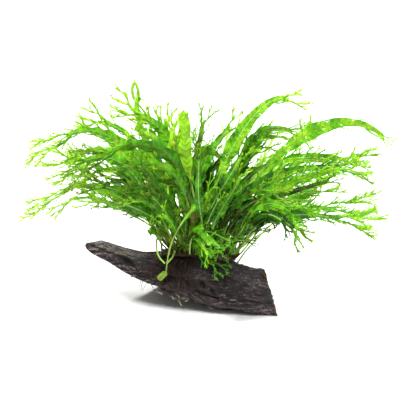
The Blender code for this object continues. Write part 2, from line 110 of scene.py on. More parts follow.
def curve_through(points: Any, position: float, closed: bool = False) -> tuple[float, ...]:
    """Point of a Catmull-Rom curve.

    Args:
        points: the points that the curve passes.
        position: where on it, counted in points.
        closed: whether the last point is followed by the first.

    Returns:
        The point, with as many numbers as each of the points.
    """
    count = len(points)
    index = int(math.floor(position))
    part = position - index
    if closed:
        four = [points[(index + k) % count] for k in (-1, 0, 1, 2)]
    else:
        four = [points[min(max(index + k, 0), count - 1)] for k in (-1, 0, 1, 2)]
    return tuple(
        0.5 * (
            2 * q + (r - p) * part + (2 * p - 5 * q + 4 * r - s) * part**2
            + (3 * q - p - 3 * r + s) * part**3
        )
        for p, q, r, s in zip(*four)
    )


def link(made: Object) -> Object:
    """Put a new object in the scene, and return it."""
    bpy.context.scene.collection.objects.link(made)
    return made


def look_along(thing: Object, place: Vector, way: Vector) -> None:
    """Put a camera or a light at a place in mm, and let it look that way."""
    thing.location = place * MM
    thing.rotation_mode = "QUATERNION"
    thing.rotation_quaternion = way.to_track_quat("-Z", "Y")


# -------- node tools


def feed(node: Node, inputs: dict[str | int, Any]) -> None:
    """Set the inputs of a node.

    Args:
        node: the node.
        inputs: by socket name or number, a value, or the reading, the output socket or the
            node (its first output) that is linked to it.
    """
    for key, value in inputs.items():
        value = value.outputs[0] if isinstance(value, Node) else value
        value = value.socket if isinstance(value, Reading) else value
        if isinstance(value, NodeSocket):
            node.id_data.links.new(value, node.inputs[key])
        else:
            node.inputs[key].default_value = value


def add_node(
    tree: NodeTree, kind: str, inputs: dict[str | int, Any] | None = None,
    settings: dict[str, Any] | None = None, stops: tuple[tuple[float, str], ...] = (),
) -> Node:
    """Add one node with its settings and what feeds it.

    Args:
        tree: the tree that it joins.
        kind: the node's type name.
        inputs: what feeds it, as in feed.
        settings: values of the node's own properties.
        stops: position and hex colour of each stop of a colour ramp.

    Returns:
        The node.
    """
    made = tree.nodes.new(kind)
    for name, value in (settings or {}).items():
        setattr(made, name, value)
    feed(made, inputs or {})
    for number, (position, colour) in enumerate(stops):
        marks = made.color_ramp.elements
        mark = marks[number] if number < 2 else marks.new(position)
        mark.position = position
        mark.color = linear(colour)
    return made


def reckoning(operation: str, swapped: bool = False) -> Callable[..., "Reading"]:
    """Give Reading a method for one operation of the Math node.

    Args:
        operation: its name there.
        swapped: whether the reading comes after the other number.

    Returns:
        The method.
    """

    def method(reading: "Reading", *others: Any) -> "Reading":
        """Put a reading and other numbers through the operation."""
        values = (*others, reading) if swapped else (reading, *others)
        inputs = dict(enumerate(values))
        tree = reading.socket.id_data
        return Reading(add_node(tree, "ShaderNodeMath", inputs, {"operation": operation}))

    return method


class Reading:
    """A number or a colour that a node gives; each sum with it adds a node that works it out."""

    __add__ = reckoning("ADD")
    __sub__ = reckoning("SUBTRACT")
    __rsub__ = reckoning("SUBTRACT", swapped=True)
    __mul__ = reckoning("MULTIPLY")
    __truediv__ = reckoning("DIVIDE")
    __pow__ = reckoning("POWER")
    __abs__ = reckoning("ABSOLUTE")
    sine = reckoning("SINE")
    or_larger = reckoning("MAXIMUM")

    def __init__(self, node: Node, output: str | int = 0) -> None:
        """Read one output of a node."""
        self.socket = node.outputs[output]

    def rise(self, low: float, high: float) -> "Reading":
        """A number that rises smoothly from 0 to 1 as this one goes from low to high."""
        inputs = {"Value": self, "From Min": low, "From Max": high}
        settings = {"interpolation_type": "SMOOTHSTEP"}
        return Reading(add_node(self.socket.id_data, "ShaderNodeMapRange", inputs, settings))

    def blend(self, first: Any, second: Any) -> "Reading":
        """Colour between two hex colours or readings; the number says how much of the second."""
        pair = [linear(c) if isinstance(c, str) else c for c in (first, second)]
        inputs = {0: self, 6: pair[0], 7: pair[1]}
        mixed = add_node(self.socket.id_data, "ShaderNodeMix", inputs, {"data_type": "RGBA"})
        return Reading(mixed, 2)


# -------- mesh drafts


class MeshDraft:
    """Points, faces and spines of a piece, with the numbers that its finish reads.

    A spine is a line of points that Geometry Nodes turns into a strand, as wide at each
    point as its half width, and flat across its face direction.
    """

    def __init__(self, vectors: tuple[str, ...], numbers: tuple[str, ...] = ()) -> None:
        """Start an empty draft.

        Args:
            vectors: Names of the values with three numbers that each point carries.
            numbers: Names of the values with one number.
        """
        self.points: list[Vector] = []
        self.faces: list[tuple[int, ...]] = []
        self.edges: list[tuple[int, int]] = []
        self.vectors: dict[str, list] = {name: [] for name in vectors}
        self.numbers: dict[str, list] = {name: [] for name in numbers}

    def add(self, point: Vector, **values: Any) -> int:
        """Add a point given in mm with its values, and return its number."""
        self.points.append(point * MM)
        for name, kept in self.vectors.items():
            kept.append(values.get(name, (0, 0, 0)))
        for name, kept in self.numbers.items():
            kept.append(values.get(name, 0.0))
        return len(self.points) - 1

    def bridge(self, before: list[int], after: list[int]) -> None:
        """Join two closed rings of as many points with a band of faces."""
        count = len(before)
        for k in range(count):
            following = (k + 1) % count
            self.faces.append((before[k], before[following], after[following], after[k]))

    def add_spine(
        self, points: list[Vector], halves: list[float], faces: list[Vector], hues: list[Triple],
        stem: Triple = (0, 0, 0),
    ) -> None:
        """Add one strand.

        Args:
            points: its points, in mm.
            halves: its half width at each, in mm.
            faces: the way its flat side looks at each.
            hues: the colour numbers at each.
            stem: further colour numbers, the same all along.
        """
        made = [
            self.add(p, face=tuple(f), wide=h * MM, spine=1.0, leaf=OFF_RIB, hue=c, stem=stem)
            for p, h, f, c in zip(points, halves, faces, hues)
        ]
        self.edges.extend(zip(made, made[1:]))

    def piece(self, name: str, finish: Material) -> Object:
        """The draft as an object at the origin, smooth, with one finish."""
        data = bpy.data.meshes.new(name)
        data.from_pydata(self.points, self.edges, self.faces)
        for key, kept in self.vectors.items():
            layer = data.attributes.new(key, "FLOAT_VECTOR", "POINT")
            layer.data.foreach_set("vector", [n for value in kept for n in value])
        for key, kept in self.numbers.items():
            data.attributes.new(key, "FLOAT", "POINT").data.foreach_set("value", kept)
        data.shade_smooth()
        data.materials.append(finish)
        return link(bpy.data.objects.new(name, data))


def twin(piece: Object, name: str) -> Object:
    """A copy of a piece with a mesh of its own."""
    made = piece.copy()
    made.data = piece.data.copy()
    made.name = name
    return link(made)


def hand_over(piece: Object, slot: str, *nodes: str) -> None:
    """Let a finished piece ride on the body, in the place of its solids if it has any."""
    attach(piece, BODY)
    if nodes:
        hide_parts(*nodes)
    log.info("%s: %d faces", piece.name, len(piece.data.polygons))


class NodeRule:
    """A Geometry Nodes tree with named inputs, used to turn a draft into its final mesh."""

    def __init__(self, name: str, **inputs: str) -> None:
        """Start the tree and declare its inputs and its output.

        Args:
            name: Name of the tree.
            **inputs: Kind of each input that stands between the geometry and the material.
        """
        self.tree = bpy.data.node_groups.new(name, "GeometryNodeTree")
        self.keys = {
            key: self.new_socket(key, "INPUT", kind).identifier
            for key, kind in {"Geometry": "Geometry", **inputs, "Material": "Material"}.items()
        }
        self.new_socket("Geometry", "OUTPUT", "Geometry")
        self.given = self.tree.nodes.new("NodeGroupInput").outputs

    def new_socket(self, name: str, way: str, kind: str) -> NodeTreeInterfaceSocket:
        """Declare an input or an output of the tree."""
        sockets = self.tree.interface
        return sockets.new_socket(name, in_out=way, socket_type="NodeSocket" + kind)

    def attribute(self, name: str, kind: str = "FLOAT") -> NodeSocket:
        """Socket of a named attribute of the geometry."""
        inputs, settings = {"Name": name}, {"data_type": kind}
        read = add_node(self.tree, "GeometryNodeInputNamedAttribute", inputs, settings)
        return read.outputs["Attribute"]

    def close(self, geometry: Node) -> None:
        """End the tree: smooth, real and with its finish."""
        smoothed = add_node(self.tree, "GeometryNodeSetShadeSmooth", {0: geometry})
        real = add_node(self.tree, "GeometryNodeRealizeInstances", {0: smoothed})
        finish = {"Geometry": real, "Material": self.given["Material"]}
        dressed = add_node(self.tree, "GeometryNodeSetMaterial", finish)
        add_node(self.tree, "NodeGroupOutput", {0: dressed})

    def apply(self, piece: Object, **values: Any) -> None:
        """Run the tree on a piece and keep the result as its plain mesh.

        Args:
            piece: the object whose mesh goes in, and gets the result.
            values: value of each named input.
        """
        modifier = piece.modifiers.new(self.tree.name, "NODES")
        modifier.node_group = self.tree
        for key, value in values.items():
            modifier[self.keys[key]] = value
        graph = bpy.context.evaluated_depsgraph_get()
        result = bpy.data.meshes.new_from_object(piece.evaluated_get(graph))
        piece.modifiers.clear()
        draft, piece.data = piece.data, result
        result.name = piece.name
        bpy.data.meshes.remove(draft)


class StrandRule(NodeRule):
    """Turns the spines of a draft into strands, and keeps its faces as they are."""

    def __init__(self) -> None:
        """Build the tree: part the spines off, sweep a flattened ring along them, join."""
        super().__init__("strands_along_spines", Flatness="Float", Sides="Int")
        tree, given = self.tree, self.given
        on_spine = {"Geometry": given["Geometry"], "Selection": self.attribute("spine")}
        parted = add_node(tree, "GeometryNodeSeparateGeometry", on_spine, {"domain": "POINT"})
        line = add_node(tree, "GeometryNodeMeshToCurve", {0: parted.outputs["Selection"]})
        flat_side = {"Curve": line, "Normal": self.attribute("face", "FLOAT_VECTOR")}
        aimed = add_node(tree, "GeometryNodeSetCurveNormal", flat_side, {"mode": "FREE"})
        ring = {"Resolution": given["Sides"], "Radius": 1.0}
        outline = add_node(tree, "GeometryNodeCurvePrimitiveCircle", ring)
        scale = add_node(tree, "ShaderNodeCombineXYZ", {0: given["Flatness"], 1: 1, 2: 1})
        flat = add_node(tree, "GeometryNodeTransform", {"Geometry": outline, "Scale": scale})
        sweep = {"Curve": aimed, "Profile Curve": flat, "Scale": self.attribute("wide")}
        strand = add_node(tree, "GeometryNodeCurveToMesh", {**sweep, "Fill Caps": True})
        both = add_node(tree, "GeometryNodeJoinGeometry")
        tree.links.new(parted.outputs["Inverted"], both.inputs[0])
        tree.links.new(strand.outputs[0], both.inputs[0])
        self.close(both)


class FuzzRule(NodeRule):
    """Sets short bent hairs on a surface where its attribute "fuzz" lets them grow."""

    STEPS, SIDES = 4, 3  # points and sides of a hair
    START, MIDDLE, END = (0, 0, -0.1), (0.1, 0, 0.7), (0.6, 0.1, 0.9)  # of one of length 1
    SHORTEST = 0.45  # hair, as a share of the longest

    def __init__(self) -> None:
        """Build the tree: scatter points, and set a tapered, bent hair on each of them."""
        sizes = dict.fromkeys(("Density", "Length", "Thickness", "Tilt"), "Float")
        super().__init__("hairs_on_surface", **sizes, Seed="Int")
        tree, given = self.tree, self.given
        chosen = {"Mesh": given["Geometry"], "Selection": self.attribute("fuzz")}
        chosen |= {"Density": given["Density"], "Seed": given["Seed"]}
        spots = add_node(tree, "GeometryNodeDistributePointsOnFaces", chosen)
        bow = {"Start": self.START, "Middle": self.MIDDLE, "End": self.END}
        bow["Resolution"] = self.STEPS
        line = add_node(tree, "GeometryNodeCurveQuadraticBezier", bow)
        part = add_node(tree, "GeometryNodeSplineParameter").outputs["Factor"]
        narrowing = {"Value": part, "To Min": given["Thickness"], "To Max": 0.0}
        taper = Reading(add_node(tree, "ShaderNodeMapRange", narrowing))
        ring = {"Resolution": self.SIDES, "Radius": 0.5}
        outline = add_node(tree, "GeometryNodeCurvePrimitiveCircle", ring)
        sweep = {"Curve": line, "Profile Curve": outline, "Scale": taper / given["Length"]}
        hair = add_node(tree, "GeometryNodeCurveToMesh", {**sweep, "Fill Caps": True})
        any_way = {0: (-1, -1, -math.pi), 1: (1, 1, math.pi), "Seed": given["Seed"]}
        vector = {"data_type": "FLOAT_VECTOR"}
        turn = add_node(tree, "FunctionNodeRandomValue", any_way, vector)
        tilt = add_node(tree, "ShaderNodeCombineXYZ", {0: given["Tilt"], 1: given["Tilt"], 2: 1})
        product = {"operation": "MULTIPLY"}
        angles = add_node(tree, "ShaderNodeVectorMath", {0: turn, 1: tilt}, product)
        spin = add_node(tree, "FunctionNodeEulerToRotation", {0: angles})
        lean = {0: spots.outputs["Rotation"], 1: spin}
        aim = add_node(tree, "FunctionNodeRotateRotation", lean, {"rotation_space": "LOCAL"})
        sizes = {2: self.SHORTEST, 3: 1.0, "Seed": given["Seed"]}
        size = add_node(tree, "FunctionNodeRandomValue", sizes, {"data_type": "FLOAT"})
        placed = {"Points": spots.outputs["Points"], "Instance": hair, "Rotation": aim}
        placed["Scale"] = Reading(size, 1) * given["Length"]
        self.close(add_node(tree, "GeometryNodeInstanceOnPoints", placed))


# -------- finishes


@dataclass(frozen=True)
class Finish:
    """A material made of nodes, named for what the real one is."""

    name: str

    def new_tree(self) -> tuple[Material, NodeTree, Node]:
        """A new material with its tree and its Principled node."""
        made = bpy.data.materials.new(self.name)
        made.use_nodes = True
        return made, made.node_tree, made.node_tree.nodes["Principled BSDF"]

    def place(self, tree: NodeTree, along: float, across: float) -> Node:
        """Object coordinates scaled to so many pattern units a millimetre in x, and in y and z."""
        at = add_node(tree, "ShaderNodeTexCoord").outputs["Object"]
        scale = (along / MM, across / MM, across / MM)
        return add_node(tree, "ShaderNodeMapping", {"Vector": at, "Scale": scale})

    def pattern(
        self, tree: NodeTree, kind: str, along: float, across: float | None = None,
        settings: dict[str, Any] | None = None, **inputs: Any,
    ) -> Reading:
        """A pattern in the piece's own space.

        Args:
            tree: the tree that it joins.
            kind: type name of its texture node.
            along: pattern units a millimetre in x.
            across: the same in y and z, if it differs.
            settings: values of the texture node's own properties.
            inputs: values of its further inputs.

        Returns:
            The number that the texture gives first.
        """
        at = self.place(tree, along, across or along)
        return Reading(add_node(tree, kind, {"Vector": at, "Scale": 1, **inputs}, settings))

    def values(self, tree: NodeTree, attribute: str) -> list[Reading]:
        """The three numbers of a vector attribute of the mesh."""
        read = add_node(tree, "ShaderNodeAttribute", None, {"attribute_name": attribute})
        parts = add_node(tree, "ShaderNodeSeparateXYZ", {0: read.outputs["Vector"]})
        return [Reading(parts, k) for k in range(3)]


@dataclass(frozen=True)
class FernLeaf(Finish):
    """Living java fern: a firm wet blade, quilted between its side veins.

    Attribute leaf holds mm across from the midrib, mm along, and the share of the way to
    the margin; hue holds the frond's tone (-1 dark to 1 light), how near the forked tip
    is, and 1 on the upper face; stem how much it is stalk, how brown its midrib is, and
    how withered the leaf is.
    """

    name: str = "java_fern_leaf"
    dark: str = "#0A2E02"
    deep: str = "#266604"
    green: str = "#56A60C"
    light: str = "#92CE26"
    tip: str = "#B2E626"
    rib_light: str = "#AACF6A"
    rib_warm: str = "#7A4A1C"
    stalk: str = "#7C9E2A"
    stalk_pale: str = "#B4DA6C"
    foot: str = "#33240F"
    brown: str = "#6E3A1C"
    withered: str = "#5C4514"
    vein_mm: float = 5.4  # between side veins
    vein_lean: float = 0.85  # mm that a side vein runs forward for each mm outward
    vein_stray: float = 4.0  # mm that a side vein strays
    mesh_mm: float = 2.3  # width of the net between the finest veins
    roughness: float = 0.32
    quilt_mm: float = 0.8  # how deep the net and the side veins look

    def build(self) -> Material:
        """Make the material."""
        made, tree, surface = self.new_tree()
        across, along, _ = self.values(tree, "leaf")
        tone, ripe, upper = self.values(tree, "hue")
        stem, rib_hue, old = self.values(tree, "stem")
        away = abs(across)

        # Side veins: sunk lines that leave the midrib forward; the blade swells between them.
        cloud = self.pattern(tree, NOISE, 0.09, Detail=3)
        run = along - away * self.vein_lean + (cloud - 0.5) * self.vein_stray
        swell = abs((run * (math.pi / self.vein_mm)).sine())
        vein = 1.0 - swell.rise(0.0, 0.35)
        edges = {"feature": "DISTANCE_TO_EDGE"}
        cell = self.pattern(tree, CELLS, 1 / self.mesh_mm, settings=edges).rise(0.0, 0.16)
        grit = self.pattern(tree, NOISE, 1.6, Detail=2)

        # Greens, from the frond's own tone and slow patches of light and dark, with painted shade
        # that darkens each leaf towards its foot, deep in the clump.
        painted_inner_shade = 1.0 - along.rise(25.0, 120.0)
        level = tone * 0.42 + (cloud - 0.5) * 1.3 + 0.5 - painted_inner_shade * 0.2
        greens = ((0.0, self.dark), (0.30, self.deep), (0.56, self.green), (0.86, self.light))
        green = add_node(tree, "ShaderNodeValToRGB", {0: level}, stops=greens)
        green = (vein * 0.35).blend(green, self.dark)
        green = ((1.0 - cell) * 0.22).blend(green, self.deep)
        under = (1.0 - upper) * 0.35
        green = under.blend(green, self.green)

        # Midrib, stalk, tips and the odd brown spot.
        rib = rib_hue.blend(self.rib_light, self.rib_warm)
        green = ((1.0 - away.rise(0.15, 0.6)) * 0.75).blend(green, rib)
        fresh = tone.rise(0.15, 0.6)
        stalk = fresh.blend(self.stalk, self.stalk_pale)
        green = (stem * (tone * 0.25 + 0.7)).blend(green, stalk)
        low = (1.0 - along.rise(4.0, 26.0)) * (1.0 - fresh)
        green = (low * stem).blend(green, self.foot)
        faded = old * cloud.rise(0.3, 0.62)
        green = (faded * 0.8).blend(green, self.withered)
        ripened = ripe.rise(0.2, 1.0) * (tone * 0.5 + 0.62) * (1.0 - old)
        green = ripened.blend(green, self.tip)
        spot = 1.0 - self.pattern(tree, CELLS, 0.11).rise(0.05, 0.12)
        green = (spot * 0.7).blend(green, self.brown)
        burnt = (ripe * cloud).rise(0.60, 0.68)
        green = (burnt * 0.8).blend(green, self.brown)

        # Waxy gloss above, duller below, broken up by the quilting.
        height = (cell * 0.3 + swell**0.6 + grit * 0.15) * (1.0 - stem.or_larger(ripe))
        quilt = {"Strength": 0.9, "Distance": self.quilt_mm * MM, "Height": height}
        feed(surface, {
            "Base Color": green,
            "Roughness": grit * 0.2 + (self.roughness - 0.1) + under * 0.4,
            "Normal": add_node(tree, "ShaderNodeBump", quilt),
            "Specular IOR Level": 0.08,
            "Coat Weight": 0.3,
            "Coat Roughness": 0.1,
        })
        return made


@dataclass(frozen=True)
class SunkenWood(Finish):
    """Driftwood long under water: dark, leached in streaks, pitted and split along the grain.

    Attribute zones holds how weathered, how warm and how glossy a place is, glossy places also
    getting painted sheen and painted glints; cleft holds how deep it lies in a groove, crack or
    hollow, which is darkened as painted shade, how far it is on the sawn end, and how much painted
    shadow lies on it.
    """

    name: str = "sunken_driftwood"
    black: str = "#0B0807"
    dark: str = "#201717"
    brown: str = "#342528"
    lilac: str = "#5A484C"
    pale: str = "#A39793"  # dry, leached edges of the grain
    warm: str = "#4E3226"
    rim: str = "#A4602E"
    leached: str = "#74736A"
    ochre: str = "#A88448"
    sawn: str = "#3A2A20"
    streak_mm: float = 2.0  # width of a streak of the grain
    streak_long: float = 9.0  # times as long as wide
    pit_mm: float = 1.9
    crumb_mm: float = 1.6  # size of the crumbs of the decayed surface
    dry_x: Pair = (-62, -104)  # mm: the thin end is drier and paler
    relief_mm: float = 3.0  # how deep the grain and the crumbs look
    roughness: float = 0.5

    def build(self) -> Material:
        """Make the material."""
        made, tree, surface = self.new_tree()
        leached, warm, gloss = self.values(tree, "zones")
        cleft, sawn, painted_shade = self.values(tree, "cleft")
        fine, pit, crumb = 1 / self.streak_mm, 1 / self.pit_mm, 1 / self.crumb_mm
        long = fine / self.streak_long
        streaks = self.pattern(tree, NOISE, long, fine, Detail=5, Roughness=0.6)
        broad = self.pattern(tree, NOISE, 0.03, 0.11, Detail=4)
        hole = 1.0 - self.pattern(tree, CELLS, 0.5 * pit, pit).rise(0.12, 0.42)
        specks = self.pattern(tree, NOISE, 1.1, 1.5, Detail=4, Roughness=0.7)
        rough = {"Detail": 3, "Roughness": 0.65, "Distortion": 0.6}
        crumbs = self.pattern(tree, NOISE, 0.85 * crumb, crumb, **rough)
        x = Reading(add_node(tree, "ShaderNodeSeparateXYZ", {0: self.place(tree, 1, 1)}))
        wet_x, dry_x = self.dry_x
        dry = 1.0 - x.rise(dry_x, wet_x)

        # Browns, from the grain and the crumbs, paler where it is dry, and a little paler where it
        # is glossy, as painted sheen.
        level = broad * 0.8 - 1.62 + streaks * 1.9 + crumbs * 1.35 + dry * 0.2 + gloss * 0.12
        level = level + dry * (streaks - 0.5)
        browns = ((0.26, self.black), (0.40, self.dark), (0.53, self.brown))
        browns += ((0.70, self.lilac), (0.90, self.pale))
        wood = add_node(tree, "ShaderNodeValToRGB", {0: level}, stops=browns)
        wood = (warm * 0.6).blend(wood, self.warm)
        wood = (warm * specks).rise(0.40, 0.58).blend(wood, self.rim)
        wood = (leached * streaks.rise(0.3, 0.6) * 0.9).blend(wood, self.leached)
        wood = ((leached * streaks).rise(0.46, 0.58) * 0.7).blend(wood, self.ochre)
        # Painted glints: lilac specks on the crumbs, most where the wood is glossy.
        glint = crumbs.rise(0.56, 0.70) * (gloss * 0.65 + 0.1)
        wood = glint.blend(wood, self.lilac)
        # Painted shade: the sunk pits are darkened.
        wood = (hole * 0.55).blend(wood, self.black)
        wood = (sawn * 0.5).blend(wood, self.sawn)
        # Painted shade in grooves, cracks and hollows, and painted shadow from the shadow strokes,
        # both as black.
        wood = cleft.rise(0.1, 0.9).or_larger(painted_shade * 0.8).blend(wood, self.black)

        height = streaks * 0.8 + crumbs + specks * 0.4 - hole * 0.35
        relief = {"Strength": 1.0, "Distance": self.relief_mm * MM, "Height": height}
        feed(surface, {
            "Base Color": wood,
            "Roughness": specks * 0.35 + (self.roughness - 0.17) - gloss * 0.22,
            "Normal": add_node(tree, "ShaderNodeBump", relief),
        })
        return made


@dataclass(frozen=True)
class RootFibre(Finish):
    """Root hairs: dark brown and wiry, pale and thin at the growing tip (hue's second number)."""

    name: str = "root_fibre"
    old: str = "#150B08"
    young: str = "#4A2A1A"
    tip: str = "#DCC9A2"
    roughness: float = 0.72

    def build(self) -> Material:
        """Make the material."""
        made, tree, surface = self.new_tree()
        tone, ripe, _ = self.values(tree, "hue")
        cloud = self.pattern(tree, NOISE, 0.5, Detail=3)
        brown = (cloud + tone * 0.3).rise(0.45, 0.85).blend(self.old, self.young)
        fibrous = {"Strength": 0.4, "Distance": 0.1 * MM, "Height": cloud}
        feed(surface, {
            "Base Color": ripe.blend(brown, self.tip),
            "Roughness": cloud * 0.2 + (self.roughness - 0.1),
            "Normal": add_node(tree, "ShaderNodeBump", fibrous),
        })
        return made


@dataclass(frozen=True)
class StemSkin(Finish):
    """Skin of a creeping stem: scaly and lumpy, from dark brown to fresh green."""

    name: str = "rhizome_skin"
    dark: str = "#1E160E"
    mid: str = "#3C3A18"
    light: str = "#5E6A26"
    cut: str = "#A06A2A"
    lump_mm: float = 1.6
    roughness: float = 0.66

    def build(self) -> Material:
        """Make the material."""
        made, tree, surface = self.new_tree()
        _, cut, _ = self.values(tree, "hue")
        lumps = self.pattern(tree, CELLS, 1 / self.lump_mm)
        cloud = self.pattern(tree, NOISE, 0.25, Detail=4)
        hues = ((0.35, self.dark), (0.52, self.mid), (0.7, self.light))
        skin = add_node(tree, "ShaderNodeValToRGB", {0: cloud}, stops=hues)
        skin = (lumps.rise(0.3, 0.7) * 0.6).blend(skin, self.dark)
        skin = (cut * cloud).rise(0.36, 0.52).blend(skin, self.cut)
        scaly = {"Strength": 0.7, "Distance": 0.5 * MM, "Height": lumps}
        feed(surface, {
            "Base Color": skin,
            "Roughness": cloud * 0.25 + (self.roughness - 0.12),
            "Normal": add_node(tree, "ShaderNodeBump", scaly, {"invert": True}),
        })
        return made


@dataclass(frozen=True)
class StudioPaper(Finish):
    """Matt white background paper, with the faint cloudiness of its pulp."""

    name: str = "studio_paper"
    white: str = "#F6F6F4"
    faint: str = "#F1F1EF"
    roughness: float = 0.9

    def build(self) -> Material:
        """Make the material."""
        made, tree, surface = self.new_tree()
        paper = self.pattern(tree, NOISE, 0.01).blend(self.white, self.faint)
        feed(surface, {"Base Color": paper, "Roughness": self.roughness})
        return made


# -------- driftwood


class Ring(NamedTuple):
    """Outline of the wood at one x: ridge, front shoulder, front face, front lip,
    underside, back heel and back shoulder, each as (y, z)."""

    x: float
    outline: tuple[Pair, ...]


WOOD_RINGS = (
    Ring(-136, ((1, 59.8), (-2, 60), (-5, 58.8), (-5, 57), (0, 55), (5, 55.6), (4, 58.8))),
    Ring(-131, ((6, 58.6), (-1, 60.4), (-6, 57.6), (-7, 53.2), (2, 50.4), (11, 51.6), (12, 56))),
    Ring(-123, ((9, 59.4), (-2, 57.8), (-8.5, 54), (-9.5, 49.4), (2, 45.8), (15, 46.8),
                (16, 53.5))),
    Ring(-115, ((10, 56.6), (-3, 54.8), (-10, 50.8), (-11.5, 46), (2, 42), (17, 42), (19, 50))),
    Ring(-100, ((12, 50.2), (-3, 48.8), (-13, 44), (-15, 37.2), (2, 32), (24, 31), (25, 42.6))),
    Ring(-86, ((14, 44.8), (-4, 45.6), (-16, 40), (-18, 30.8), (2, 25), (29, 20), (30, 37))),
    Ring(-68, ((16, 44.4), (-6, 45.6), (-20, 37.5), (-21, 25), (4, 15.5), (40, -2), (40, 31))),
    Ring(-50, ((16, 43.4), (-9, 43.6), (-23, 33.5), (-24, 20.6), (6, 7), (44, -7), (45, 29))),
    Ring(-32, ((14, 42), (-11, 42), (-26, 30), (-27, 13.8), (6, -1.4), (46, -8), (47, 28))),
    Ring(-14, ((12, 39.8), (-12, 38.6), (-27, 25.5), (-29, 10.6), (4, -4.2), (47, -8), (46, 25))),
    Ring(-4, ((11, 38.6), (-11, 36), (-26, 22.5), (-29.5, 8.8), (4, -4.8), (46, -8), (44, 22))),
    Ring(4, ((10, 33.8), (-9, 31), (-25, 19.5), (-30, 6.8), (4, -5.4), (45, -8), (41, 17))),
    Ring(17, ((8, 32.6), (-7, 27.6), (-22.5, 15.4), (-30, 4.4), (4, -5.4), (43, -8), (38, 14))),
    Ring(28, ((6, 32.8), (-6, 27), (-21.5, 13.4), (-29, 2.4), (2, -6), (41, -8), (35, 13.6))),
    Ring(38, ((5, 32), (-6, 26), (-20.5, 12.4), (-28, 0), (2, -6), (40, -8), (33, 13))),
)


def along_wood(x: float) -> float:
    """Where a place at x lies along the wood, counted in rings."""
    ring = next((k for k, end in enumerate(WOOD_RINGS[1:]) if end.x >= x), len(WOOD_RINGS) - 2)
    low, high = WOOD_RINGS[ring].x, WOOD_RINGS[ring + 1].x
    return ring + (x - low) / (high - low)


def outline_at(position: float) -> list[tuple[float, ...]]:
    """The wood's outline at a place counted in rings."""
    lines = ([ring.outline[k] for ring in WOOD_RINGS] for k in range(SIDES))
    return [curve_through(line, position) for line in lines]


class Stroke(NamedTuple):
    """A mark on the wood from (x0, a0) to (x1, a1), where a counts outline points."""

    x0: float
    a0: float
    x1: float
    a1: float
    reach: float  # half width in mm
    depth: float  # mm for a dent, 0 to 1 for a colour


class Zone(Enum):
    """Ways in which a place of the wood differs from the rest of it."""

    LEACHED = 0
    WARM = 1
    GLOSSY = 2


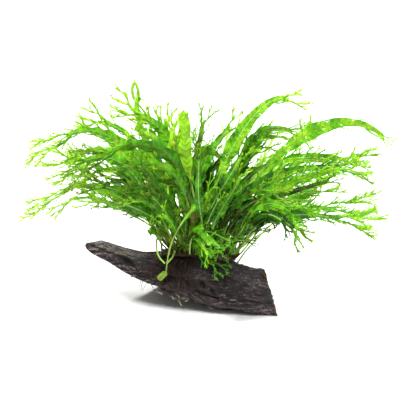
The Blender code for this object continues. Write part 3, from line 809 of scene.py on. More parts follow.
@dataclass
class Driftwood:
    """The wood: a loft through its rings with grain, clefts and pits, flat at the foot."""

    along: int = 400  # rings of the fine loft
    around: int = 180  # points of each ring
    cap_rings: int = 9
    end_lean: float = -0.25  # the sawn end leans: x shift for each mm of height
    end_skew: float = -0.1  # and for each mm behind the front lip
    end_front: float = -28
    end_lean_reach: float = 34
    ragged_end: float = 1.1  # mm that the sawn end's rim strays
    mm_per_a: float = 14  # one outline point is about this far round the wood
    ridge: float = 0.5
    fine_ridge: float = 0.35
    lump: float = 1.6
    lump_scale: float = 0.055
    full_span: float = 20
    groove: float = 1.2  # depth of the grooves of the grain
    groove_share: float = 0.16  # of the grain that is groove
    hair: float = 0.22  # height of its finest lines
    pebble: float = 0.8  # height of the lumps of the decayed surface
    decayed_x: Pair = (-75, -20)  # mm: where the decayed surface begins
    hollows: tuple[Stroke, ...] = (
        Stroke(-126, 1.42, -106, 1.3, 3.0, 2.2),  # split between the front plank and the ledge
        Stroke(-104, 1.4, -96, 1.65, 5.0, 6.5),  # rotted hole behind the front plank
        Stroke(-120, 0.6, -94, 0.55, 2.6, 1.2),  # split between the ledge and the back plank
        Stroke(-62, 1.9, -18, 2.55, 5.5, 3.6),  # long hollow above the lip
        Stroke(-18, 2.5, 20, 2.35, 4.5, 1.8),
        Stroke(-52, 1.3, -44, 2.6, 4.0, 2.2),  # where the roots gather
    )
    clefts: tuple[Stroke, ...] = (
        Stroke(-130, 1.42, -108, 1.34, 0.9, 1.8),  # under the ledge
        Stroke(-122, 0.66, -100, 0.62, 0.8, 1.6),  # over the ledge
        Stroke(-118, 0.25, -92, 0.3, 0.7, 1.1),
        Stroke(-104, 1.35, -100, 1.9, 2.0, 3.2),
        Stroke(-98, 1.3, -95, 1.85, 2.0, 3.2),
        Stroke(-94, 1.7, -88, 2.2, 1.2, 2.2),
        Stroke(-88, 2.2, -84, 2.5, 0.9, 1.3),
        Stroke(-126, 1.9, -104, 2.05, 0.6, 1.0),
        Stroke(-112, 2.35, -84, 2.5, 0.6, 1.0),
        Stroke(-104, 2.7, -86, 2.8, 0.6, 0.9),
        Stroke(-86, 0.8, -66, 1.0, 0.7, 1.2),
        Stroke(-84, 1.3, -62, 1.6, 0.7, 1.2),
        Stroke(-80, 1.8, -66, 2.1, 0.7, 1.2),
        Stroke(-31, 1.95, -29, 2.0, 1.8, 3.4),
        Stroke(-22, 2.2, -20, 2.3, 1.6, 3.0),
        Stroke(-36, 2.45, -16, 2.62, 0.9, 2.0),
        Stroke(-34, 2.7, -28, 2.95, 0.7, 1.1),
        Stroke(-56, 2.0, -48, 2.75, 0.8, 1.2),
        Stroke(-10, 1.4, 14, 1.5, 0.7, 1.2),
        Stroke(-4, 1.9, 30, 1.8, 0.6, 1.0),
        Stroke(2, 2.3, 36, 2.2, 0.8, 1.2),
        Stroke(-12, 2.6, 20, 2.55, 0.6, 1.0),
        Stroke(30, 0.85, 40, 1.0, 1.2, 1.8),
    )
    marks: tuple[tuple[Zone, Stroke], ...] = (
        (Zone.LEACHED, Stroke(-124, 0.95, -94, 0.95, 5.0, 1.0)),
        (Zone.LEACHED, Stroke(-118, 0.2, -88, 0.4, 4.5, 0.6)),
        (Zone.WARM, Stroke(-122, 0.05, -80, 0.2, 4.0, 0.9)),
        (Zone.WARM, Stroke(-56, 1.9, -20, 2.4, 5.0, 0.7)),
        (Zone.WARM, Stroke(31, 0.5, 37, 0.9, 2.6, 1.0)),
        (Zone.WARM, Stroke(37, 2.1, 38, 2.6, 2.0, 1.0)),
        (Zone.GLOSSY, Stroke(-42, 2.85, 34, 2.8, 7.0, 1.0)),
        (Zone.WARM, Stroke(-80, 0.3, -30, 0.4, 5.0, 0.8)),
        (Zone.GLOSSY, Stroke(-20, 1.8, 20, 1.6, 8.0, 0.4)),
    )
    # Painted shadows: dark places on the wood in the rotted hole, where the roots gather, and under
    # the front rhizome.
    painted_shadows: tuple[Stroke, ...] = (
        Stroke(-104, 1.4, -96, 1.7, 4.5, 1.0),
        Stroke(-60, 0.8, -46, 1.7, 9.0, 0.8),
        Stroke(-52, 1.2, -44, 2.6, 8.0, 1.0),
        Stroke(-60, 0.3, 0, 0.4, 10.0, 0.7),
    )
    mossy: tuple[Stroke, ...] = (
        Stroke(-112, 0.15, -78, 0.35, 6.0, 1.0),
        Stroke(-78, 0.4, -20, 0.55, 7.0, 1.0),
        Stroke(-66, 0.9, -60, 1.2, 5.0, 1.0),
    )
    moss_line: float = 0.35  # the strength from which fibres grow
    fibre_mm: float = 3.6
    fibre_wide: float = 0.4
    fibres_per_mm2: float = 0.5
    finish: Finish = SunkenWood()
    fibre: Finish = RootFibre(name="wood_fibre", old="#1A0F09", young="#8A5220")
    grid: list[list[Vector]] = field(default_factory=list)

    def strength(self, mark: Stroke, x: float, a: float) -> float:
        """How strongly a mark shows at a place, falling off to its sides."""
        run_x, run_a = mark.x1 - mark.x0, (mark.a1 - mark.a0) * self.mm_per_a
        here_x, here_a = x - mark.x0, (a - mark.a0) * self.mm_per_a
        squared = run_x * run_x + run_a * run_a
        share = min(max((here_x * run_x + here_a * run_a) / squared, 0), 1)
        away_x, away_a = here_x - run_x * share, here_a - run_a * share
        away = (away_x * away_x + away_a * away_a) / mark.reach**2
        return mark.depth * math.exp(-away) if away < 9 else 0.0

    def deepest(self, marks: tuple[Stroke, ...], x: float, a: float) -> float:
        """The strongest of several marks at a place."""
        return max((self.strength(mark, x, a) for mark in marks), default=0.0)

    def relief(self, x: float, a: float, span: float) -> Pair:
        """Outward shift of the surface, and how deep in a groove, cleft or hollow it is, 0 to 1;
        the finish darkens it there as painted shade.
        """
        turn = math.tau * a / SIDES
        ridges = self.ridge * math.sin(a * 6.1 + x * 0.035)
        ridges += self.fine_ridge * math.sin(a * 10.7 - x * 0.05)
        round_y, round_z = math.cos(turn), math.sin(turn)

        def bumps(along: float, across: float) -> float:
            """Smooth noise, so fine along the wood and round it."""
            return noise.noise(Vector((x * along, round_y * across, round_z * across)))

        hollow = self.deepest(self.hollows, x, a)
        broad = ridges + self.lump * bumps(self.lump_scale, 1.4) - hollow
        grooves = self.groove * smooth(1 - abs(bumps(0.03, 8.5)) / self.groove_share) ** 1.5
        hairs = self.hair * bumps(0.08, 24)
        decayed = smooth(x, *self.decayed_x) * (1 - 0.6 * smooth(abs(a - 2.2), 0.5, 0.1))
        rough = bumps(0.30, 6.5) + 0.7 * bumps(0.62, 13)
        pebbles = self.pebble * rough * (0.35 + 0.65 * decayed)
        grooves *= 1 - 0.55 * decayed
        cleft = self.deepest(self.clefts, x, a)
        fine = hairs + pebbles - grooves - cleft
        cover = min(span / self.full_span, 1)
        # How deep a place lies in grooves, clefts and hollows; the finish paints it darker by this,
        # as painted shade.
        depth = 0.5 * grooves / self.groove + 0.45 * cleft + 0.12 * hollow
        return (broad + fine) * cover, min(depth, 1.0)

    def tip(self) -> Vector:
        """Middle of the first ring."""
        y, z = (sum(p[k] for p in WOOD_RINGS[0].outline) / SIDES for k in (0, 1))
        return Vector((WOOD_RINGS[0].x - 1.2, y, z))

    def build(self) -> None:
        """Make the wood and let it stand for its solid."""
        draft = MeshDraft(("zones", "cleft"), ("fuzz",))
        rings = []
        xs = [(ring.x,) for ring in WOOD_RINGS]
        last = len(WOOD_RINGS) - 1
        for i in range(self.along):
            u = last * i / (self.along - 1)
            x = curve_through(xs, u)[0]
            outline = outline_at(u)
            middle = Vector(tuple(sum(p[k] for p in outline) / SIDES for k in (0, 1)))
            lean_start = WOOD_RINGS[-1].x - self.end_lean_reach
            lean = smooth_square((x - lean_start) / self.end_lean_reach)
            ring, made = [], []
            for k in range(self.around):
                a = SIDES * k / self.around
                out = Vector(curve_through(outline, a, closed=True)) - middle
                span = out.length
                shift, depth = self.relief(x, a, span)
                out *= 1 + shift / max(span, 1)
                z = middle.y + out.y
                y = middle.x + out.x
                away = self.end_lean * z + self.end_skew * (y - self.end_front)
                away += self.ragged_end * noise.noise(Vector((7, y * 0.3, z * 0.3)))
                point = Vector((x + away * lean, y, z))
                ring.append(point)
                made.append(self.vertex(draft, point, x, a, depth))
            self.grid.append(ring)
            rings.append(made)
        for ring, following in zip(rings, rings[1:]):
            draft.bridge(ring, following)
        self.close_end(draft, rings[0], self.grid[0], self.tip(), 0.0)
        middle = sum(self.grid[-1], Vector()) / self.around
        self.close_end(draft, rings[-1], self.grid[-1], middle, 1.0)
        piece = draft.piece("weathered_driftwood", self.finish.build())
        self.cut_foot(piece)
        fibres = twin(piece, "driftwood_fibres")
        hand_over(piece, "bark", "driftwood")
        sizes = {"Length": self.fibre_mm * MM, "Thickness": self.fibre_wide * MM}
        sizes |= {"Density": self.fibres_per_mm2 / MM**2, "Tilt": 1.2, "Seed": 7}
        FuzzRule().apply(fibres, Material=self.fibre.build(), **sizes)
        hand_over(fibres, "roots")

    def vertex(self, draft: MeshDraft, point: Vector, x: float, a: float, depth: float) -> int:
        """Add a point of the wood with its colour numbers."""
        zones = [0.0, 0.0, 0.0]
        for zone, mark in self.marks:
            zones[zone.value] = max(zones[zone.value], self.strength(mark, x, a))
        painted_shade = self.deepest(self.painted_shadows, x, a)
        moss = float(self.deepest(self.mossy, x, a) > self.moss_line)
        return draft.add(point, zones=tuple(zones), cleft=(depth, 0.0, painted_shade), fuzz=moss)

    def close_end(
        self, draft: MeshDraft, rim: list[int], outline: list[Vector], middle: Vector, sawn: float
    ) -> None:
        """Close an end with rings that shrink to its middle, roughened by the saw."""
        before = rim
        for step in range(1, self.cap_rings + 1):
            share = 1 - step / (self.cap_rings + 1)
            made = []
            for k, edge in enumerate(outline):
                point = middle.lerp(edge, share)
                split = noise.noise(Vector((point.y * 0.9, point.z * 0.25, 3.0)))
                year = math.sin(share * 26 + 2 * noise.noise(point * 0.08))
                point.x += sawn * (0.25 * year + 0.5 * split - 0.5 * smooth(share, 1.0, 0.8))
                # Splits in the sawn end carry a cleft value, so the finish darkens them as painted
                # shade.
                made.append(draft.add(point, cleft=(0.5 * smooth(split, 0.1, 0.4), sawn, 0)))
            draft.bridge(before, made)
            before = made
        centre = draft.add(middle, cleft=(0, sawn, 0))
        for k in range(len(before)):
            draft.faces.append((before[k], before[(k + 1) % len(before)], centre))

    def cut_foot(self, piece: Object) -> None:
        """Cut the wood off flat at z = 0, as it stands, with its faces outward."""
        shell = bmesh.new()
        shell.from_mesh(piece.data)
        bmesh.ops.recalc_face_normals(shell, faces=shell.faces)
        whole = shell.verts[:] + shell.edges[:] + shell.faces[:]
        cut = bmesh.ops.bisect_plane(
            shell, geom=whole, plane_co=(0, 0, 0), plane_no=UP, clear_inner=True
        )
        rim = [part for part in cut["geom_cut"] if isinstance(part, bmesh.types.BMEdge)]
        made = bmesh.ops.holes_fill(shell, edges=rim, sides=0)["faces"]
        bmesh.ops.triangulate(shell, faces=made)
        bmesh.ops.recalc_face_normals(shell, faces=shell.faces)
        shell.to_mesh(piece.data)
        shell.free()

    def place(self, x: float, a: float, lift: float) -> tuple[Vector, Vector]:
        """A place over the fine surface, and the way out there.

        Args:
            x: along the wood, in mm, before the lean of the sawn end.
            a: outline position.
            lift: height over the surface in mm.

        Returns:
            The place in mm and the outward direction.
        """
        u = along_wood(x) / (len(WOOD_RINGS) - 1)
        i = min(max(int(round(u * (self.along - 1))), 1), self.along - 2)
        k = int(round(a / SIDES * self.around)) % self.around
        here = self.grid[i][k]
        on = self.grid[i + 1][k] - self.grid[i - 1][k]
        around = self.grid[i][(k + 2) % self.around] - self.grid[i][k - 2]
        out = around.cross(on).normalized()
        middle = sum(self.grid[i], Vector()) / self.around
        if out.dot(here - middle) < 0:
            out = -out
        return here + out * lift, out


# -------- rhizomes


class Creeper(NamedTuple):
    """A creeping stem that lies on the wood: its radius and plan points (x, y)."""

    radius: float
    plan: tuple[Pair, ...]


@dataclass
class Rhizomes:
    """Creeping stems, lumpy with the feet of their fronds and bristling with scales."""

    creepers: dict[str, Creeper] = field(
        default_factory=lambda: {
            "front": Creeper(3.4, ((-68, 2), (-52, 0), (-34, 3), (-16, 0), (0, 3))),
            "back": Creeper(3.4, ((-62, 17), (-44, 20), (-26, 17), (-10, 19), (1, 17))),
        }
    )
    offshoot_radius: float = 2.7
    offshoot_path: tuple[Pair, ...] = ((-64.5, 1.95), (-67, 2.15), (-69.5, 2.35))
    root_clear: float = 1.95
    root_thick: float = 1.2
    around: int = 28
    step: float = 0.7  # mm between rings
    taper_mm: float = 8.0  # over which an end narrows
    round_mm: float = 1.6  # over which it is rounded off
    cut_mm: float = 2.5  # over which it has the colour of a cut
    lump: float = 0.45
    foot_height: float = 1.0  # of the swelling at the foot of a frond
    foot_reach: float = 2.2
    scale_mm: float = 3.4  # length of the hairy scales
    scale_wide: float = 0.36
    scales_per_mm2: float = 0.42
    skin: Finish = StemSkin()
    green_skin: Finish = StemSkin("offshoot_skin", "#5A7A16", "#93B022", "#B8CC3C", "#9C6426")
    scale_hair: Finish = RootFibre("rhizome_scale_hair", "#1C110B", "#6A3A20")
    axes: dict[str, tuple[list[Vector], float]] = field(default_factory=dict)

    def lay_axes(self) -> None:
        """Find the stems' centre lines on the wood's solid, as the solids lie."""
        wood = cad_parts["driftwood"]
        tree = BVHTree.FromObject(wood, bpy.context.evaluated_depsgraph_get())
        for key, creeper in self.creepers.items():
            self.axes[key] = (self.line_on_wood(creeper, tree), creeper.radius)
        clear = self.root_clear + self.root_thick / 2 + GAP + self.offshoot_radius
        line = [lifted(tree, solid_point(x, a), clear)[0] for x, a in self.offshoot_path]
        self.axes["offshoot"] = (line, self.offshoot_radius)

    def line_on_wood(self, creeper: Creeper, tree: BVHTree) -> list[Vector]:
        """Centre line of a stem lying on the wood."""
        line = []
        for k in range((len(creeper.plan) - 1) * 4 + 1):
            x, y = curve_through(creeper.plan, k / 4)
            top = highest(tree, x, y, creeper.radius)
            line.append(Vector((x, y, top + creeper.radius + GAP)))
        for _ in range(3):
            for k in range(1, len(line) - 1):
                line[k].z = max(line[k].z, (line[k - 1].z + line[k + 1].z) / 2)
        return line

    def build(self, seats: dict[str, list[Vector]]) -> None:
        """Make the stems.

        Args:
            seats: where fronds grow on each, which swells it there.
        """
        skin, hair = self.skin.build(), self.scale_hair.build()
        fuzz = FuzzRule()
        sizes = {"Length": self.scale_mm * MM, "Thickness": self.scale_wide * MM}
        sizes |= {"Density": self.scales_per_mm2 / MM**2, "Tilt": 0.9}
        for number, key in enumerate(self.creepers):
            node = "rhizome_" + key
            piece = self.stem(node + "_skin", key, seats[key], skin, 0.7)
            bristles = twin(piece, node + "_bristles")
            hand_over(piece, "rhizome", node)
            fuzz.apply(bristles, Seed=number, Material=hair, **sizes)
            hand_over(bristles, "roots")
        stub = self.stem("offshoot_stub", "offshoot", [], self.green_skin.build(), 1.0)
        hand_over(stub, "offshoot", "rhizome_offshoot")

    def stem(self, name: str, key: str, seats: list[Vector], skin: Material, end: float) -> Object:
        """One stem as a lumpy tube with rounded ends.

        Args:
            name: of the piece.
            key: which centre line it follows.
            seats: places where a frond's foot swells it.
            skin: its material.
            end: radius at its ends, as a share.

        Returns:
            The piece.
        """
        line, radius = self.axes[key]
        draft = MeshDraft(("hue",), ("fuzz",))
        length = sum((b - a).length for a, b in zip(line, line[1:]))
        count = int(length / self.step)
        before, back = None, Vector((0, 1, 0))
        for i in range(count + 1):
            share = i / count
            position = share * (len(line) - 1)
            centre = Vector(curve_through(line, position))
            ahead = Vector(curve_through(line, min(position + 0.1, len(line) - 1)))
            behind = Vector(curve_through(line, max(position - 0.1, 0)))
            along = (ahead - behind).normalized()
            across = (back - along * back.dot(along)).normalized()
            over = along.cross(across)
            from_end = min(share, 1 - share) * length
            fill = end + (1 - end) * smooth(from_end, 0, self.taper_mm)
            rounding = math.sqrt(max(1 - (1 - min(from_end / self.round_mm, 1)) ** 2, 0.02))
            cut = 1 - smooth(from_end, 0, self.cut_mm)
            ring = []
            for k in range(self.around):
                turn = math.tau * k / self.around
                out = across * math.cos(turn) + over * math.sin(turn)
                at = centre + out * radius
                bump = self.lump * noise.noise(at * 0.55) + 0.5 * self.lump * noise.noise(at * 1.3)
                nearest = min(((at - seat).length for seat in seats), default=math.inf)
                swell = math.exp(-((nearest / self.foot_reach) ** 2))
                reach = radius * fill * rounding + (bump + self.foot_height * swell) * rounding
                ring.append(draft.add(centre + out * reach, hue=(0, cut, 0), fuzz=1.0))
            if before:
                draft.bridge(before, ring)
            else:
                draft.faces.append(tuple(reversed(ring)))
            before = ring
        draft.faces.append(tuple(before))
        piece = draft.piece(name, skin)
        turn_outward(piece)
        return piece


def turn_outward(piece: Object) -> None:
    """Point the faces of a closed piece outwards."""
    shell = bmesh.new()
    shell.from_mesh(piece.data)
    bmesh.ops.recalc_face_normals(shell, faces=shell.faces)
    shell.to_mesh(piece.data)
    shell.free()


def highest(tree: BVHTree, x: float, y: float, spread: float) -> float:
    """Highest point of the solid wood within a small disc, in mm."""
    heights = []
    for step in range(9):
        turn = step * math.tau / 8
        reach = spread if step < 8 else 0
        start = Vector((x + reach * math.cos(turn), y + reach * math.sin(turn), 300)) * MM
        hit = tree.ray_cast(start, -UP)[0]
        if hit:
            heights.append(hit.z / MM)
    return max(heights)


def lifted(tree: BVHTree, point: Vector, clear: float) -> tuple[Vector, Vector]:
    """The nearest place that far outside a solid, in mm, and the way out."""
    place, outward, _, _ = tree.find_nearest(point * MM)
    return place / MM + outward * clear, outward


def solid_point(x: float, a: float) -> Vector:
    """Place of the wood's plain outline, without its relief, near ring position a."""
    return Vector((x, *curve_through(outline_at(along_wood(x)), a, closed=True)))


# -------- roots


class RootMat(NamedTuple):
    """Roots that run down the wood together and end in free hanging tips."""

    node: str
    path: tuple[Pair, ...]  # (x, ring position)
    width: float
    hang: float  # length of the tips below the mat
    lean: float  # how far the tips lean towards -X
    strands: int


@dataclass
class Roots:
    """Wiry roots that clasp the wood, fray at its lower edge and grow pale, thin tips."""

    mats: tuple[RootMat, ...] = (
        RootMat(
            "roots_left", ((-66, 0.8), (-70, 1.4), (-74, 2), (-78.5, 2.6), (-82, 3)),
            width=12, hang=17, lean=0.15, strands=15,
        ),
        RootMat(
            "roots_middle", ((-56, 0.75), (-58, 1.3), (-57, 1.9), (-57.5, 2.5), (-57, 3)),
            width=20, hang=16, lean=0, strands=22,
        ),
        RootMat(
            "roots_right", ((-43, 0.75), (-46, 1.3), (-45, 1.9), (-42, 2.5), (-39, 3)),
            width=16, hang=9, lean=-0.5, strands=15,
        ),
    )
    thickness: Pair = (0.25, 0.6)  # half width of a root
    stray: float = 8.0  # how far a root wanders sideways, mm
    wriggle: float = 1.8  # mm to each side
    pile: float = 1.9  # height of the mat over the wood
    points: int = 15
    length: Pair = (0.35, 1.0)  # of a root that doesn't hang, as a share
    hang_half: float = 0.42  # least half width of a root that hangs
    hang_share: Pair = (0.45, 1.0)  # of the mat's own length of tips
    hang_steps: int = 9
    narrowing: float = 0.62  # of its half width, from its start to its tip
    finish: Finish = RootFibre()

    def build(self, wood: Driftwood) -> None:
        """Make the mats of roots on the wood."""
        fibre = self.finish.build()
        rule = StrandRule()
        for number, mat in enumerate(self.mats):
            draw = random.Random(100 + number)
            draft = MeshDraft(("face", "leaf", "hue"), ("spine", "wide"))
            for strand in range(mat.strands):
                self.strand(draft, mat, wood, draw, strand)
            piece = draft.piece(mat.node + "_fibres", fibre)
            rule.apply(piece, Flatness=0.9, Sides=5, Material=fibre)
            hand_over(piece, "roots", mat.node)

    def strand(
        self, draft: MeshDraft, mat: RootMat, wood: Driftwood, draw: random.Random, number: int
    ) -> None:
        """Draw one root from the rhizome down the wood, and out past its edge if it is long."""
        hangs = number % 3 == 0
        offset = draw.uniform(-0.5, 0.5) * mat.width
        stray = draw.gauss(0, 0.45) * self.stray
        end = 1.0 if hangs else draw.uniform(*self.length)
        lift = draw.uniform(0.05, 1.0) ** 2 * self.pile
        half = draw.uniform(*self.thickness)
        phase = draw.uniform(0, math.tau)
        tone = draw.uniform(-1, 1)
        places, faces = [], []
        for k in range(self.points):
            share = end * k / (self.points - 1)
            x, a = curve_through(mat.path, share * (len(mat.path) - 1))
            x += offset * (0.5 + 0.6 * share) + stray * share**1.5
            x += self.wriggle * math.sin(phase + 9 * share)
            height = half + lift * math.sin(math.pi * min(share + 0.15, 1)) + 0.1
            place, out = wood.place(x, a + 0.02 * draw.uniform(-1, 1), height)
            places.append(place)
            faces.append(out)
        ripes = [0.0] * len(places)
        if hangs:
            self.hang(places, faces, ripes, mat, draw)
            half = max(half, self.hang_half)
        last = len(places) - 1
        halves = [half * (1.0 - self.narrowing * (k / last) ** 1.5) for k in range(last + 1)]
        draft.add_spine(places, halves, faces, [(tone, ripe, 0) for ripe in ripes])

    def hang(
        self, places: list[Vector], faces: list[Vector], ripes: list[float], mat: RootMat,
        draw: random.Random,
    ) -> None:
        """Carry a root on below the wood, curling and growing pale."""
        reach = mat.hang * draw.uniform(*self.hang_share)
        steps = self.hang_steps
        heading = Vector((-mat.lean + draw.gauss(0, 0.28), -0.25 + draw.gauss(0, 0.12), -1))
        curl = Vector((draw.gauss(0, 0.22), draw.gauss(0, 0.1), 0))
        for k in range(steps):
            heading = (heading + curl).normalized()
            places.append(places[-1] + heading * reach / steps)
            faces.append(faces[-1])
            ripes.append(smooth((k + 1) / steps, 0.35, 1.0))


# -------- fronds


class Crest(Enum):
    """How the end of a frond forks."""

    LACE = 0  # many times, into a fine tuft
    SPARSE = 1  # a few short prongs
    LOOP = 2  # two broad lobes that close in a ring
    TAPER = 3  # the blade runs on, ever narrower, beside one forked twig
    ROUND = 4  # a plain rounded end


class Sprig(NamedTuple):
    """A large forked twig that grows from a margin of a blade."""

    share: float  # of the blade's length
    hand: int  # which margin
    turn: float  # degrees away from the blade's line
    length: float
    back: float  # degrees that it bends back
    half: float = 1.2  # half width at its root


class Frond(NamedTuple):
    """One frond, by where it grows, where its blade ends and how it bows."""

    stem: str
    root: float  # x of its base on the rhizome
    seat: float  # degrees round the rhizome: 0 back, 90 top, 180 front
    tip: Triple
    launch: float  # degrees above level as it leaves the rhizome
    arrive: float
    width: float
    roll: float  # degrees the blade is turned about its own line: 0 lies flat
    twist: float
    crest: float  # length of the forked tuft beyond the blade
    tone: float | None  # -1 dark to 1 light
    ragged: int  # small forks along the blade's margins
    mates: int  # smaller leaves that grow beside it
    shoots: int  # short leaves at its foot
    stalk: float = 0.34
    hold: float = 0.40
    spread: float = 0.85  # how wide the tuft forks
    style: Crest = Crest.LACE
    old: float = 0.0  # how withered it is
    sprigs: tuple[Sprig, ...] = ()
    forward: float = 0.0  # mm that its middle bows nearer the viewer
    taper: float = 0.5  # share of the blade from which it narrows
    end: float = 0.34  # width of the blade's end, as a share
    lime: float = 1.0  # how far its tips turn lime; over 1, its whole blade is also painted lighter, as painted light where the lamps light it too little

    def blade_share(self, t: float) -> float:
        """Share of the way from the blade's foot to its end, under 0 on the stalk."""
        return (t - self.stalk) / (1 - self.stalk)

    def green(self, number: int) -> float:
        """The tone of the leaf with this number, chosen for it if the row gives none."""
        return self.tone if self.tone is not None else 0.9 * scatter(number, 9)


